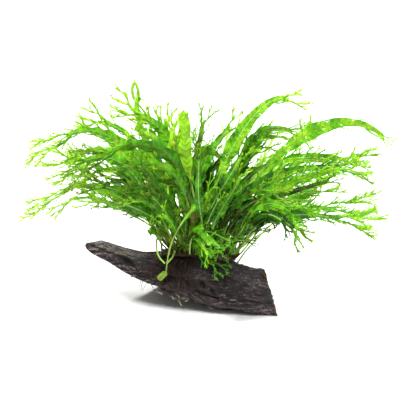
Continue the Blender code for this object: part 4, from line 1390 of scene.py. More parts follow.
FRONDS = (
    # stem, root, seat, tip, launch, arrive, width, roll, twist, crest, tone, ragged, mates, shoots
    # right-hand side of the fan, from the top down
    Frond("front", -32, 95, (43, 25, 189), 87, -8, 14.5, 78, -20, 20, 0.45, 2, 0, 2, stalk=0.3,
        hold=0.25, spread=0.7, taper=0.3, end=0.3),
    Frond("front", -20, 120, (127, -12, 165), 78, -42, 12.5, 68, 15, 10, 0.35, 3, 0, 2, hold=0.35,
        spread=0.5, style=Crest.TAPER,
        sprigs=(Sprig(0.40, -1, 75, 14, 10), Sprig(0.44, -1, 35, 15, -10),
                Sprig(0.86, 1, 28, 20, 10)),
        taper=0.42, end=0.2, lime=0.8),
    Frond("back", -14, 95, (50, 40, 154), 80, -24, 10, 48, 25, 22, 0.15, 7, 3, 2, hold=0.46,
        spread=0.8, lime=0.85),
    Frond("back", -8, 80, (98, 18, 134), 82, -12, 11, 60, -20, 24, 0.2, 18, 3, 2, hold=0.45,
        spread=0.6, taper=0.3, end=0.3, lime=0.75),
    Frond("front", -9, 107, (87, -28, 142), 88, 4, 10.5, 75, 20, 28, -0.1, 18, 3, 2, hold=0.45,
        spread=0.5, taper=0.3, end=0.3, lime=0.8),
    Frond("back", -4, 60, (78, 56, 101), 82, 42, 9, 30, 30, 20, 0.3, 8, 1, 0, hold=0.5, spread=0.6),
    Frond("front", -4, 140, (87, -46, 146), 80, 22, 9, 90, -25, 20, 0.2, 16, 3, 0, stalk=0.4,
        hold=0.45, spread=0.7, taper=0.35, end=0.3, lime=0.8),
    Frond("back", 0, 82, (82, 20, 87), 84, -2, 9.5, 45, 20, 50, 0.2, 14, 0, 0, hold=0.3,
        spread=0.35, lime=0.75),
    Frond("front", 0, 120, (81, -40, 100), 82, -2, 9, 80, 20, 38, 0, 14, 0, 0, hold=0.35,
        spread=0.45, lime=0.8),
    Frond("front", -3, 165, (46, -62, 99), 46, -28, 9.5, 60, -20, 22, -0.4, 9, 1, 0, spread=0.6),
    Frond("back", -1, 50, (72, 42, 94), 50, 24, 9.5, 50, 10, 30, 0.2, 14, 1, 0, stalk=0.5,
        spread=0.7, lime=0.8),
    Frond("front", -47, 143, (-23, -60, 82), 100, -14, 9, 30, 25, 14, 0.05, 4, 0, 0, stalk=0.25,
        hold=0.5, lime=0.35),
    Frond("front", -40, 178, (-21, -56, 63), 98, -6, 7.5, 30, 20, 15, -0.15, 6, 1, 0, stalk=0.2,
        hold=0.5, lime=0.4),
    # middle of the fan
    Frond("front", -35, 88, (-46, 0, 182), 90, 90, 12, 80, 10, 4, 1.15, 1, 0, 2, stalk=0.5,
        hold=0.5, style=Crest.ROUND, taper=0.8, end=0.7, lime=1.45),
    Frond("front", -57, 110, (-55, -20, 176), 70, 72, 7.5, 0, -20, 12, 1.05, 2, 1, 1, stalk=0.5,
        hold=0.5, lime=1.65),
    Frond("back", -44, 95, (-64, 45, 155), 84, 88, 8.5, -40, 30, 20, 0.2, 3, 1, 2, spread=0.8),
    Frond("back", -42, 88, (-30, 30, 162), 98, 66, 9, 75, -25, 17, -0.3, 4, 2, 2, hold=0.5),
    Frond("back", -27, 100, (-7, 22, 161), 94, 42, 12, 50, 5, 18, 0, 3, 2, 2, hold=0.5),
    Frond("back", -20, 80, (25, 40, 139), 82, 18, 10, 75, 20, 20, -0.2, 4, 3, 2, hold=0.35),
    Frond("front", -40, 128, (-15, -46, 157), 100, -6, 10.5, 70, 10, 8, -0.35, 1, 0, 2, stalk=0.5,
        hold=0.5, style=Crest.SPARSE),
    Frond("front", -24, 120, (3, -5, 143), 98, 66, 10.5, 85, -20, 18, 0, 3, 2, 2, hold=0.5),
    Frond("back", -24, 70, (-22, 62, 127), 80, 20, 12, 5, 15, 16, -0.5, 3, 1, 2, hold=0.5),
    Frond("front", -30, 162, (-33, -35, 151), 64, 92, 7, 20, 30, 14, -0.45, 3, 1, 2, stalk=0.4,
        hold=0.5),
    # left-hand side of the fan, from the top down
    Frond("front", -35, 130, (-107, -36, 158), 84, -10, 12.5, 62, 15, 38, -0.5, 3, 2, 1, stalk=0.27,
        hold=0.5, forward=11, taper=0.65),
    Frond("front", -48, 90, (-89, 20, 191), 76, 84, 12.5, 80, -15, 17, 0.7, 2, 3, 1, spread=0.5,
        style=Crest.LOOP, taper=0.6, end=0.55, lime=1.45),
    Frond("back", -38, 100, (-86, 5, 179), 74, 28, 14, 78, 20, 25, 0.35, 12, 3, 1, spread=0.8,
        sprigs=(Sprig(0.8, -1, 35, 20, 10), Sprig(0.93, -1, 25, 24, 10),
                Sprig(0.9, 1, 30, 18, 10))),
    Frond("back", -48, 85, (-117, 35, 164), 70, 20, 8.5, 80, 20, 24, 0.4, 8, 3, 1, hold=0.35,
        spread=0.75),
    Frond("front", -51, 100, (-150, 14, 158), 86, -30, 10, 90, -15, 36, 0.55, 9, 3, 0, hold=0.35,
        spread=0.32),
    Frond("front", -53, 135, (-131, -29, 148), 54, -18, 10.5, 75, 25, 34, 0.15, 4, 3, 0,
        spread=0.8),
    Frond("back", -52, 75, (-130, 32, 156), 74, 24, 10, 90, -20, 16, 0.35, 7, 3, 0, hold=0.35,
        spread=0.7),
    Frond("front", -60, 110, (-117, -16, 135), 46, 2, 10, 75, 20, 34, 0.05, 5, 3, 0, spread=0.75),
    Frond("back", -56, 90, (-151, 2, 112), 43, -34, 8, 55, 20, 42, 0.55, 12, 1, 0, hold=0.25,
        spread=0.4),
    Frond("back", -60, 60, (-124, 22, 93), 62, 12, 9, 75, 15, 28, 0.1, 7, 1, 0, hold=0.5,
        spread=0.6),
    Frond("front", -58, 138, (-113, -46, 130), 80, 22, 10, 90, -20, 30, -0.5, 3, 2, 0, hold=0.3,
        spread=0.5),
    Frond("front", -53, 162, (-88, -66, 133), 60, 10, 9.5, 52, 20, 24, -0.7, 2, 1, 0, spread=0.7),
    Frond("front", -66, 150, (-74, -38, 93), 80, 48, 8, 50, 10, 10, 0.3, 2, 0, 0, hold=0.5),
    Frond("back", -51, 22, (-80, 58, 66), 60, 20, 6.5, 60, 10, 10, -0.3, 2, 0, 0),
    Frond("front", -48, 168, (-73, -62, 127), 78, 36, 9, 60, 15, 22, -0.7, 1, 1, 1, hold=0.25),
    Frond("front", -50, 140, (-82, -56, 151), 94, 48, 10, 62, 20, 14, -0.65, 2, 1, 1, hold=0.3,
        style=Crest.SPARSE),
    # the far side
    Frond("back", -48, 40, (-98, 90, 112), 58, 14, 11, 50, 20, 30, None, 6, 2, 1),
    Frond("back", -40, 45, (-70, 100, 124), 66, 24, 12, 60, -20, 28, None, 5, 2, 1),
    Frond("back", -30, 50, (-38, 108, 120), 70, 26, 12, 64, 20, 30, None, 6, 2, 1),
    Frond("back", -22, 45, (-6, 104, 116), 68, 22, 11.5, 60, -20, 30, None, 6, 2, 1),
    Frond("back", -13, 48, (30, 94, 112), 60, 12, 12, 55, 20, 32, None, 6, 2, 1),
    Frond("back", -3, 35, (58, 94, 96), 52, 4, 10.5, 50, -15, 34, None, 6, 2, 1),
    Frond("back", -56, 30, (-122, 74, 92), 50, -8, 10, 46, 15, 34, None, 6, 2, 1),
    Frond("back", -34, 20, (-54, 104, 82), 48, -14, 10.5, 40, 20, 28, None, 5, 2, 1),
    Frond("back", -16, 22, (8, 100, 80), 46, -16, 10.5, 40, -20, 28, None, 5, 2, 1),
    # the near side, bowing towards the viewer on the right
    Frond("front", -17, 130, (21, -38, 124), 66, 20, 10, 52, 20, 32, -0.4, 6, 2, 0),
    Frond("front", -35, 168, (-5, -62, 86), 82, 12, 6.5, 65, -20, 26, -0.4, 4, 1, 0, hold=0.5,
        spread=1, lime=0.4),
    Frond("front", -7, 155, (40, -68, 118), 60, -6, 10.5, 50, 15, 30, 0.1, 6, 1, 0, spread=1,
        lime=0.5),
    # the young plant on the offshoot
    Frond("offshoot", -65, 160, (-26, -30, 119), 86, 54, 5.5, 35, 20, 16, 0.4, 0, 0, 0, stalk=0.6,
        hold=0.45, style=Crest.SPARSE, lime=0.3),
)


class Bow:
    """The line of a frond from its seat to the end of its blade, with its cross direction."""

    SEAT_RISE = 1.8
    SWAY, WIGGLE = 5.0, 2.0
    FORWARD = Vector((0, -1, 0.36))  # straight towards the viewer
    STALK_WIDE, STALK_THICK = 1.7, 1.4

    def __init__(self, frond: Frond, number: int, seat: Vector, outward: Vector) -> None:
        """Lay the line of one frond.

        Args:
            frond: Its row, or a row made for a smaller leaf beside it.
            number: Seed of its random draws, 100 higher for each smaller leaf.
            seat: Point on the rhizome where the frond starts.
            outward: Direction out of the rhizome there.
        """
        self.frond, self.number = frond, number
        self.seat, self.outward = seat, outward
        self.start = seat + outward * self.SEAT_RISE
        self.end = Vector(frond.tip)
        flat = Vector((self.end.x - self.start.x, self.end.y - self.start.y, 0))
        self.ahead = flat.normalized()
        self.across = self.ahead.cross(UP).normalized()
        chord = (self.end - self.start).length * frond.hold
        self.first = self.start + self.heading(frond.launch) * chord
        self.last = self.end - self.heading(frond.arrive) * chord

    def heading(self, degrees: float) -> Vector:
        """Direction that rises so many degrees over the frond's way outwards."""
        angle = math.radians(degrees)
        return self.ahead * math.cos(angle) + UP * math.sin(angle)

    def point(self, t: float) -> Vector:
        """Place on the line, from 0 at the stalk's foot to 1 at the blade's end."""
        s = 1 - t
        at = self.start * s**3 + self.first * 3 * s * s * t
        at += self.last * 3 * s * t * t + self.end * t**3
        sway = self.SWAY * scatter(self.number, 1) * math.sin(math.pi * t)
        wiggle = self.WIGGLE * scatter(self.number, 2) * math.sin(math.tau * t)
        at += self.FORWARD * (self.frond.forward * math.sin(math.pi * t))
        return at + self.across * (sway + wiggle)

    def frame(self, t: float) -> tuple[Vector, Vector, Vector]:
        """Direction along the frond, direction across the blade, and its upper face."""
        step = 0.01
        along = (self.point(min(t + step, 1)) - self.point(max(t - step, 0))).normalized()
        side = (self.across - along * self.across.dot(along)).normalized()
        roll = self.frond.roll * smooth(t * 2.2) + self.frond.twist * (t - 0.5)
        side = turned(side, math.radians(roll), along)
        return along, side, side.cross(along)

    def width(self, t: float) -> float:
        """Width of the frond: bare stalk, then a strap that narrows to the crest."""
        q = self.frond.blade_share(t)
        if q <= 0:
            return self.STALK_WIDE
        narrowed = smooth(q, self.frond.taper, 1.0)
        shape = smooth(q / 0.45) * (1 - (1 - self.frond.end) * narrowed)
        return self.STALK_WIDE + (self.frond.width - self.STALK_WIDE) * shape


@dataclass
class Leaf:
    """The fine mesh of one leaf: stalk, quilted and waved blade, and forked crest."""

    bow: Bow
    draft: MeshDraft
    columns: tuple[float, ...]  # -1 at one margin, 0 on the midrib, 1 at the other
    ring_mm: float  # between two rings of the blade
    leaf_thick: float = 0.5
    rib_thick: float = 0.6
    vein_mm: float = 5.4
    vein_lean: float = 0.85
    quilt: float = 0.6  # height of the swellings between side veins
    wave: float = 0.44  # lift of the margin, as a share of the half width
    wave_mm: Pair = (17, 5)  # length of a wave, and how far it varies
    rib_half: float = 0.62
    fork_spread: Pair = (24, 19)
    fork_share: Pair = (0.45, 0.55)
    branch_end: Pair = (0.95, 0.66)  # half width at the end of a branch
    branch_ripe: Pair = (0.2, 0.5)  # how near the forked tip a branch begins
    branch_bulge: Pair = (0.12, 0.1)  # across and out, as shares of its length
    prong_spread: Pair = (14, 24)  # degrees, of the prongs at its end
    twig_mm: float = 2.2  # between side lobes of a branch
    twig_turn: Pair = (16, 34)  # degrees away from the branch
    twig_roll: float = 22  # degrees out of its plane
    twig_share: Pair = (0.4, 0.8)  # length beside the branch's
    twig_limits: Pair = (4.5, 13)  # mm
    twig_back: Pair = (0.3, 0.9)  # how much of its turn it bends back
    lobe_half: float = 0.76  # half width of a side lobe
    lobe_stem: Pair = (0.45, 0.62)  # share of a lobe before its fork
    lobe_bend: float = 0.4  # radians in its plane
    lobe_curl: Pair = (-30, 26)  # degrees out of it
    lobe_spread: Pair = (9, 20)  # degrees between a prong and the lobe
    lobe_uneven: Pair = (0.6, 1.3)
    lobe_rest: Pair = (0.7, 1.15)
    tip_half: float = 0.42
    side_turn: Pair = (28, 50)  # degrees of a lobe on the blade's margin
    side_length: Pair = (6, 14)  # mm
    side_back: Pair = (0.2, 0.8)
    side_half: Pair = (0.8, 1.1)

    def __post_init__(self) -> None:
        """Work out what the whole leaf shares from its frond's row."""
        self.frond = frond = self.bow.frond
        self.number = number = self.bow.number
        self.draw = random.Random(number)
        self.tone = frond.green(number)
        self.rib_hue = smooth(0.45 + 0.9 * scatter(number, 10) - 0.5 * self.tone)
        self.lace = frond.style is Crest.LACE
        self.old = frond.old
        self.fine = min(max(frond.crest / 21, 0.7), 1.0)

    def grow(self) -> None:
        """Add the whole leaf to the draft."""
        self.make_blade()
        self.make_crest()
        self.make_side_forks()

    def section(self, t: float, s: float, run: float) -> tuple[float, float, float, float]:
        """Shape of the cross-section at column s.

        Args:
            t: place along the frond.
            s: -1 at one margin, 0 on the midrib, 1 at the other margin.
            run: mm along the frond.

        Returns:
            The distance from the midrib, the lift of the blade's middle surface, and the
            thickness over and under it, all in mm.
        """
        number, side = self.number, 1 if s >= 0 else -1
        q = self.frond.blade_share(t)
        body = smooth(q, 0.0, 0.2)
        half = self.bow.width(t) / 2
        ripple = noise.noise(Vector((run * 0.11, number * 3.7 + side * 1.3, 0.5)))
        teeth = noise.noise(Vector((run * 0.3, number * 1.7 + side, 4.5)))
        ragged = 0.22 * smooth(q, 0.3, 0.9) if self.lace else 0.05
        half *= 1 + body * (0.16 * ripple + ragged * teeth)
        away = abs(s)
        across = s * half
        length = self.wave_mm[0] + self.wave_mm[1] * scatter(number, 13)
        phase = math.pi * scatter(number, 11 + side)
        wave = self.wave * half * away**1.8 * math.sin(math.tau * run / length + phase)
        wave += 0.14 * half * away**2.4 * math.sin(math.tau * run / (0.43 * length) + 2 * phase)
        keel = half * (0.16 + 0.14 * scatter(number, 14)) * away**1.4
        veins = abs(math.sin(math.pi * (run - self.vein_lean * abs(across)) / self.vein_mm))
        swell = self.quilt * (veins - 0.5) * smooth(away, 0.04, 0.3) * (1 - away**5)
        lift = body * (wave + keel + swell)
        rim = math.sqrt(max(1 - away**6, 0))
        thin = 0.5 * self.leaf_thick * rim
        rib = math.exp(-((across / self.rib_half) ** 2))
        above = thin - 0.1 * rib
        below = thin + self.rib_thick * rib * (1 - 0.65 * max(q, 0))
        round_half = 0.5 * self.bow.STALK_THICK * math.sqrt(max(1 - away * away, 0))
        above = round_half + (above - round_half) * body
        below = round_half + (below - round_half) * body
        return across, lift, above, below

    def ring(self, centre: Vector, side: Vector, face: Vector, t: float, run: float) -> list[int]:
        """Add one closed ring round the leaf: its upper face, then its underside back."""
        q = self.frond.blade_share(t)
        stem = 1 - smooth(q, -0.02, 0.16)
        upper, lower = [], []
        for s in self.columns:
            across, lift, above, below = self.section(t, s, run)
            # Past 1, the lime share paints the whole blade lighter, as painted light.
            hue = (self.tone, max(0.5 * smooth(q, 0.72, 1.05), self.frond.lime - 1), 1)
            body = {"leaf": (across, run, abs(s)), "stem": (stem, self.rib_hue, self.old)}
            at = centre + side * across + face * lift
            upper.append(self.draft.add(at + face * above, hue=hue, **body))
            if abs(s) < 1:
                lower.append(self.draft.add(at - face * below, hue=(*hue[:2], 0), **body))
        return upper + lower[::-1]

    def make_blade(self) -> None:
        """The stalk and blade as one closed skin."""
        bow, frond = self.bow, self.frond
        length = (bow.end - bow.start).length
        stalk_rings = max(int(frond.stalk * length / 6), 3)
        blade_rings = max(int((1 - frond.stalk) * length * 1.1 / self.ring_mm), 5)
        stations = [frond.stalk * k / stalk_rings for k in range(stalk_rings)]
        blade = 1 - frond.stalk
        stations += [frond.stalk + blade * k / blade_rings for k in range(blade_rings + 1)]
        _, side, _ = bow.frame(0)
        foot_side = (side - bow.outward * side.dot(bow.outward)).normalized()
        foot = bow.seat - bow.outward * 1.4
        before = self.ring(foot, foot_side, foot_side.cross(bow.outward), 0, 0)
        self.draft.faces.append(tuple(before))
        run, last = 0.0, foot
        for t in stations:
            centre = bow.point(t)
            run += (centre - last).length
            last = centre
            _, side, face = bow.frame(t)
            ring = self.ring(centre, side, face, t, run)
            self.draft.bridge(ring, before)
            before = ring
        self.draft.faces.append(tuple(reversed(before)))

    def make_crest(self) -> None:
        """The forked end of the leaf."""
        bow, frond = self.bow, self.frond
        along, side, _ = bow.frame(1)
        if frond.style is Crest.LOOP:
            self.loop(bow.end, along, side, frond.crest, bow.width(1))
            return
        if frond.style is Crest.ROUND:
            end = self.arc(bow.end - along, bow.end + along * frond.crest, side, 5)
            self.strand(end, side, bow.width(1) / 2, 0.3, 0, 0.3)
            return
        self.fork(bow.end, along, side, frond.crest, bow.width(1), 0, 1)
        if self.lace:
            middle = bow.end - along * 1.5
            self.lobe(middle, along, side, frond.crest * 0.5, 1.1, 3, 0.3)

    def fork(
        self, middle: Vector, along: Vector, side: Vector, length: float, width: float, level: int,
        path: int,
    ) -> None:
        """Grow two main branches, forked again at their ends, along the solid's own.

        Args:
            middle: middle of the edge that they leave.
            along: direction of what they leave.
            side: direction across it.
            length: of the whole crest.
            width: of the edge that they leave.
            level: 0 for the first fork and 1 for the second.
            path: number of the branch that they leave.
        """
        face = side.cross(along)
        for hand in (-1, 1):
            key = path * 2 + (hand > 0)
            turn = hand * self.frond.spread * self.fork_spread[level]
            turn = -math.radians(turn * (1 + 0.35 * scatter(self.number, key)))
            wide = turned(side, turn, face)
            lift = math.radians(14 * scatter(self.number, key, 3))
            ahead = turned(turned(along, turn, face), lift, wide)
            reach = length * self.fork_share[level] * (1 + 0.22 * scatter(self.number, key, 5))
            start = middle + side * (hand * width / 4)
            end = start + ahead * reach
            out_wide, out_face = (self.draw.uniform(-most, most) for most in self.branch_bulge)
            bulge = wide * (out_wide * reach) + face * (out_face * reach)
            first = max(width / 4, 0.85) * 1.15 * self.fine
            last = self.branch_end[level] * self.fine
            if self.frond.style is Crest.TAPER and hand > 0:
                first, last = (width * 0.45, 0.5) if level else (width * 0.42, width * 0.27)
            base = self.branch_ripe[level]
            points = self.arc(start - ahead * 1.2, end, bulge, 7)
            self.strand(points, wide, first, last, base, base + 0.3)
            if self.lace:
                self.twigs(points, wide, reach, base)
            if level == 0:
                self.fork(end, ahead, wide, length, 2 * last, 1, key)
                continue
            spread = math.radians(self.draw.uniform(*self.prong_spread))
            for tilt in (-spread, spread):
                out = turned(ahead, tilt, face)
                self.lobe(end - ahead * 0.6, out, wide, max(length * 0.16, 3), 0.6, 1, 0.8)

    def arc(self, start: Vector, end: Vector, bulge: Vector, count: int) -> list[Vector]:
        """Points of a bent line, bulging most in its middle."""
        shares = [k / (count - 1) for k in range(count)]
        return [start.lerp(end, q) + bulge * (4 * q * (1 - q)) for q in shares]

    def strand(
        self, points: list[Vector], wide: Vector, first: float, last: float, ripe: float,
        ripe_end: float,
    ) -> None:
        """Add a strand of the crest, from its first to its last half width and ripeness."""
        count = len(points)
        halves, faces, hues = [], [], []
        for k in range(count):
            share = k / (count - 1)
            along = (points[min(k + 1, count - 1)] - points[max(k - 1, 0)]).normalized()
            faces.append(wide.cross(along).normalized())
            halves.append(first + (last - first) * share)
            ripened = min(ripe + (ripe_end - ripe) * share, 1) * min(self.frond.lime, 1)
            hues.append((self.tone, ripened, 0.9))
        self.draft.add_spine(points, halves, faces, hues, (0, 0, self.old))

    def twigs(self, points: list[Vector], wide: Vector, reach: float, ripe: float) -> None:
        """Side lobes along a main branch, on alternate hands."""
        draw = self.draw
        count = max(int(reach / self.twig_mm), 2)
        hand = 1 if draw.random() > 0.5 else -1
        for k in range(count):
            share = (k + 0.6 + 0.4 * draw.uniform(-1, 1)) / (count + 0.2)
            position = min(share, 0.98) * (len(points) - 1)
            index = min(int(position), len(points) - 2)
            at = points[index].lerp(points[index + 1], position - index)
            along = (points[index + 1] - points[index]).normalized()
            hand = -hand
            face = wide.cross(along).normalized()
            turn = math.radians(draw.uniform(*self.twig_turn))
            roll = math.radians(draw.uniform(-self.twig_roll, self.twig_roll))
            out = turned(turned(along, -hand * turn, face), roll, along)
            length = draw.uniform(*self.twig_share) * reach * (1.2 - 0.5 * share)
            shortest, longest = self.twig_limits
            length = min(max(length, shortest), longest)
            depth = 2 if length > 6.5 else 1
            back = hand * turn * draw.uniform(*self.twig_back)
            half = self.lobe_half * self.fine
            self.lobe(at - out * 0.4, out, wide, length, half, depth, ripe, back)

    def lobe(
        self, start: Vector, ahead: Vector, wide: Vector, length: float, half: float, depth: int,
        ripe: float, bend: float | None = None,
    ) -> None:
        """Grow a curving lobe that forks at its end as often as depth says.

        Args:
            start: its root, in mm.
            ahead: the way that it sets out.
            wide: roughly the direction across it.
            length: with its forks, in mm.
            half: half width at the root.
            depth: how many times it forks.
            ripe: how near the root is to the forked tip of the leaf, 0 to 1.
            bend: how far it turns in its plane, in radians; at random if not given.
        """
        draw = self.draw
        across = (wide - ahead * wide.dot(ahead)).normalized()
        face = across.cross(ahead).normalized()
        share = draw.uniform(*self.lobe_stem) if depth else 1.0
        steps = 3 if length * share < 5 else 4
        bend = draw.uniform(-self.lobe_bend, self.lobe_bend) if bend is None else bend
        curl = math.radians(draw.uniform(*self.lobe_curl))
        points, heading = [start], ahead
        for _ in range(steps):
            heading = turned(turned(heading, bend / steps, face), curl / steps, across)
            heading = (heading + UP * 0.05).normalized()
            points.append(points[-1] + heading * (length * share / steps))
        end = max(half * 0.78, self.tip_half) if depth else self.tip_half
        rise = 0.25 if depth else 0.45
        self.strand(points, across, half, end, ripe, ripe + rise)
        if depth:
            spread = math.radians(draw.uniform(*self.lobe_spread))
            root = points[-1] - heading * 0.3
            for tilt in (-spread, spread * draw.uniform(*self.lobe_uneven)):
                out = turned(heading, tilt, face)
                rest = length * (1 - share) * draw.uniform(*self.lobe_rest)
                self.lobe(root, out, across, rest, end, depth - 1, ripe + rise)

    def loop(self, start: Vector, along: Vector, side: Vector, length: float, width: float) -> None:
        """Two broad lobes that part and meet again at their ends, with small prongs."""
        for hand in (-1, 1):
            root = start - along * 1.5 + side * (hand * width / 4)
            end = start + along * (length * 0.8) + side * (hand * 0.6)
            points = self.arc(root, end, side * (hand * length * 0.15), 10)
            self.strand(points, side, width * 0.34, 2.0, 0.3, 0.6)
            for tilt in (-14, 18):
                out = turned(along, math.radians(tilt * hand), side.cross(along))
                self.lobe(points[-1] - along, out, side, length * 0.25, 0.7, 1, 0.8)

    def make_side_forks(self) -> None:
        """Forked lobes that grow from the margins of the blade's outer part."""
        bow, frond, draw = self.bow, self.frond, self.draw
        for number in range(frond.ragged):
            q = 0.4 + 0.58 * (number + draw.random()) / frond.ragged
            t = frond.stalk + (1 - frond.stalk) * q
            hand = 1 if number % 2 else -1
            along, side, face = bow.frame(t)
            half = bow.width(t) / 2
            root = bow.point(t) + side * (hand * half * 0.8) + face * (0.12 * half)
            turn = math.radians(draw.uniform(*self.side_turn))
            out = turned(along, -hand * turn, face)
            length = draw.uniform(*self.side_length) * (0.7 + 0.5 * q)
            back = hand * turn * draw.uniform(*self.side_back)
            wide = draw.uniform(*self.side_half) * self.fine
            self.lobe(root, out, side, length, wide, 2 if q > 0.5 else 1, 0.1, back)
        for sprig in frond.sprigs:
            t = frond.stalk + (1 - frond.stalk) * sprig.share
            along, side, face = bow.frame(t)
            root = bow.point(t) + side * (sprig.hand * bow.width(t) * 0.4)
            out = turned(along, math.radians(-sprig.hand * sprig.turn), face)
            back = math.radians(sprig.hand * sprig.back)
            self.lobe(root, out, side, sprig.length, sprig.half, 2, 0.2, back)


@dataclass
class Fan:
    """All the fronds, each grown from its place on a rhizome, with smaller ones beside it."""

    rhizomes: Rhizomes
    finish: Finish = FernLeaf()
    fine_columns: tuple[float, ...] = (-1, -0.93, -0.76, -0.5, -0.25, 0, 0.25, 0.5, 0.76, 0.93, 1)
    plain_columns: tuple[float, ...] = (-1, -0.85, -0.45, 0, 0.45, 0.85, 1)
    fine_rings: float = 1.6  # mm between two rings
    plain_rings: float = 3.0
    mate_shares: tuple[float, ...] = (0.88, 0.68, 0.46)  # length beside the leaf's own
    shoot_shares: tuple[float, ...] = (0.34, 0.25)
    mate_stray: float = 9  # mm that the tip of a smaller leaf may stray
    shoot_stray: float = 15
    root_stray: float = 4.5  # mm along the rhizome
    seat_stray: float = 26  # degrees round it
    runner_hue: Triple = (0.45, 0, 1)
    stem_ends: dict[str, Pair] = field(
        default_factory=lambda: {"front": (-67, -1), "back": (-61, 0), "offshoot": (-66, -64)}
    )
    runners: tuple[tuple[int, tuple[Triple, ...]], ...] = (
        (52, ((-70, -14, 73), (-71.5, -20, 66), (-69, -27, 58), (-63.5, -32, 53))),
        (52, ((-55, -16, 59), (-57, -24, 56), (-61.5, -31, 53))),
        (6, ((2, 24, 30), (9, 26, 40), (18, 28, 50), (29, 30, 62), (42, 34, 72))),
        (6, ((-6, 15, 40), (4, 15, 48), (14, 16, 56), (24, 18, 62), (38, 24, 66))),
    )  # pale young stalks that reach through the air, by the leaf that they join, in mm
    bows: list[list[Bow]] = field(default_factory=list)

    def seat(self, frond: Frond) -> tuple[Vector, Vector]:
        """Where a frond's stalk meets its rhizome, and which way is out."""
        axis, radius = self.rhizomes.axes[frond.stem]
        stretches = list(zip(axis, axis[1:]))
        at_root = (s for s in stretches if (s[0].x - frond.root) * (s[1].x - frond.root) <= 0)
        a, b = next(at_root, stretches[-1])
        share = min(max((frond.root - a.x) / (b.x - a.x), 0), 1)
        run = (b - a).normalized()
        back = Vector((0, 1, 0))
        back = (back - run * back.dot(run)).normalized()
        over = run.cross(back)
        if over.z < 0:
            over = -over
        turn = math.radians(frond.seat)
        outward = back * math.cos(turn) + over * math.sin(turn)
        return a + (b - a) * share + outward * (radius + GAP), outward

    def beside(self, frond: Frond, number: int, k: int, share: float, stray: float) -> Frond:
        """A smaller leaf beside a frond, within reach of that frond's solid.

        Args:
            frond: the leaf that it stands by.
            number: that leaf's number.
            k: 0 for the longest of the leaves beside it.
            share: its length beside that of the leaf.
            stray: how far its tip may stray, in mm.

        Returns:
            The smaller leaf.
        """
        low, high = self.stem_ends[frond.stem]
        share *= 1 + 0.12 * scatter(number, 20 + k)
        root = min(max(frond.root + self.root_stray * scatter(number, 30 + k), low), high)
        seat = min(max(frond.seat + self.seat_stray * scatter(number, 40 + k), 15), 170)
        moved = frond._replace(root=root, seat=seat)
        base = self.seat(moved)[0]
        tip = base + (Vector(frond.tip) - base) * share
        tip += Vector(tuple(stray * scatter(number, 50 + k, j) for j in range(3)))
        # The smaller the leaf, the darker its tone, as painted shade deep in the clump.
        return moved._replace(
            tip=(tip.x, tip.y, max(tip.z, base.z + 3 + 20 * share)),
            width=frond.width * (0.45 + 0.35 * share),
            roll=frond.roll + 20 * scatter(number, 60 + k), crest=frond.crest * 0.5 * share + 3,
            tone=0.5 * frond.green(number) + 0.8 * scatter(number, 70 + k) - 0.7 * (1 - share),
            style=Crest.SPARSE if k else Crest.LACE, ragged=1 + int(3 * share), stalk=0.24,
            old=smooth(scatter(number, 80 + k), 0.1, 0.7) if share < 0.4 else 0.0, sprigs=(),
            lime=min(frond.lime, 1.0),
        )

    def lay_out(self) -> dict[str, list[Vector]]:
        """Work out every leaf's line, and return the seats on each rhizome."""
        seats: dict[str, list[Vector]] = {key: [] for key in self.rhizomes.axes}
        for number, frond in enumerate(FRONDS, start=1):
            smaller = [(share, self.mate_stray) for share in self.mate_shares[: frond.mates]]
            smaller += [(share, self.shoot_stray) for share in self.shoot_shares[: frond.shoots]]
            leaves = [self.beside(frond, number, k, *sizes) for k, sizes in enumerate(smaller)]
            bows = []
            for k, grown in enumerate([frond, *leaves]):
                seat, outward = self.seat(grown)
                bows.append(Bow(grown, number + 100 * k, seat, outward))
                seats[frond.stem].append(seat)
            self.bows.append(bows)
        return seats

    def build(self) -> None:
        """Make every frond and let it stand for its solid."""
        finish = self.finish.build()
        rule = StrandRule()
        for number, bows in enumerate(self.bows, start=1):
            draft = MeshDraft(("face", "leaf", "hue", "stem"), ("spine", "wide"))
            Leaf(bows[0], draft, self.fine_columns, self.fine_rings).grow()
            for bow in bows[1:]:
                Leaf(bow, draft, self.plain_columns, self.plain_rings).grow()
            self.add_runners(draft, number)
            piece = draft.piece(f"java_fern_leaf_{number:02d}", finish)
            rule.apply(piece, Flatness=0.4, Sides=3, Material=finish)
            hand_over(piece, "frond", f"frond_{number:02d}")

    def add_runners(self, draft: MeshDraft, number: int) -> None:
        """Add the pale young stalks that go with a leaf."""
        for path in (path for leaf, path in self.runners if leaf == number):
            count = 4 * (len(path) - 1) + 1
            line = [Vector(curve_through(path, k / 4)) for k in range(count)]
            faces = [Vector((0, -1, 0))] * count
            draft.add_spine(line, [1.0] * count, faces, [self.runner_hue] * count, (1, 0, 0))


# -------- studio


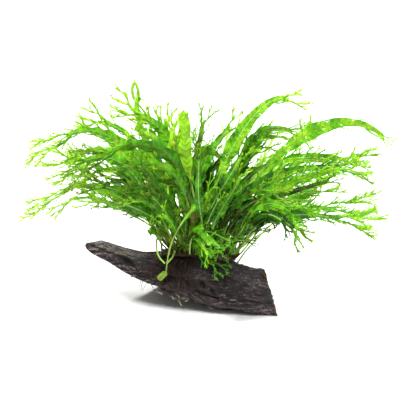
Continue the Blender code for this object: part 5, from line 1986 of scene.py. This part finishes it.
@dataclass
class Studio:
    """Pale floor that sweeps up behind, soft lights, and the camera of the photograph."""

    target: Vector = field(default_factory=lambda: Vector((-25.2, 0, 93.8)))
    elevation: float = 20.0
    distance: float = 1150.0
    photo_px: int = 416
    mm_per_px: float = 0.9
    sensor_mm: float = 36.0
    floor_half: float = 2500.0
    floor_back: float = 900.0
    sweep: float = 700.0
    sweep_steps: int = 12
    lights: tuple[tuple[str, Triple, float, float], ...] = (
        ("softbox_above_left", (-420, -520, 1150), 330, 22.5),
        ("softbox_right", (900, -500, 600), 700, 6.0),
        ("softbox_behind", (100, 700, 900), 280, 20.5),
    )  # name, place in mm, side in mm and watts
    sky: float = 0.22
    paper: Finish = StudioPaper()

    def build(self) -> None:
        """Set up the camera, the floor and the lights."""
        self.set_camera()
        self.lay_floor()
        for light in self.lights:
            self.light(*light)
        world = bpy.data.worlds.new("studio")
        bpy.context.scene.world = world
        world.use_nodes = True
        white = {"Color": linear("#FFFFFF"), "Strength": self.sky}
        feed(world.node_tree.nodes["Background"], white)
        bpy.context.scene.view_settings.view_transform = "Standard"

    def set_camera(self) -> None:
        """Look at the fern from where the photograph was taken."""
        lift = math.radians(self.elevation)
        back = Vector((0, -math.cos(lift), math.sin(lift)))
        view = bpy.data.cameras.new("camera")
        view.sensor_width = self.sensor_mm
        view.lens = self.sensor_mm * self.distance / (self.photo_px * self.mm_per_px)
        camera = link(bpy.data.objects.new("camera", view))
        look_along(camera, self.target + back * self.distance, -back)
        bpy.context.scene.camera = camera

    def lay_floor(self) -> None:
        """Sheet of paper that lies flat and sweeps up behind the fern."""
        draft = MeshDraft(())
        profile = [(-self.floor_half, 0.0), (self.floor_back, 0.0)]
        for k in range(1, self.sweep_steps + 1):
            turn = math.pi / 2 * k / self.sweep_steps
            y = self.floor_back + self.sweep * math.sin(turn)
            profile.append((y, self.sweep * (1 - math.cos(turn))))
        profile.append((self.floor_back + self.sweep, self.floor_half))
        left = [draft.add(Vector((-self.floor_half, y, z))) for y, z in profile]
        right = [draft.add(Vector((self.floor_half, y, z))) for y, z in profile]
        for k in range(len(profile) - 1):
            draft.faces.append((left[k], right[k], right[k + 1], left[k + 1]))
        draft.piece("studio_floor", self.paper.build())

    def light(self, name: str, place: Triple, size: float, watts: float) -> None:
        """Add a soft square light that looks at the fern, sizes in mm."""
        lamp = bpy.data.lights.new(name, "AREA")
        lamp.size = size * MM
        lamp.energy = watts
        made = link(bpy.data.objects.new(name, lamp))
        look_along(made, Vector(place), self.target - Vector(place))


# -------- putting it together


def main() -> None:
    """Build the studio and every piece of the fern, in order."""
    logging.basicConfig(level=logging.INFO, format="%(name)s: %(message)s")
    Studio().build()
    rhizomes = Rhizomes()
    rhizomes.lay_axes()
    wood = Driftwood()
    wood.build()
    fan = Fan(rhizomes)
    rhizomes.build(fan.lay_out())
    Roots().build(wood)
    fan.build()


if __name__ == "__main__":
    main()
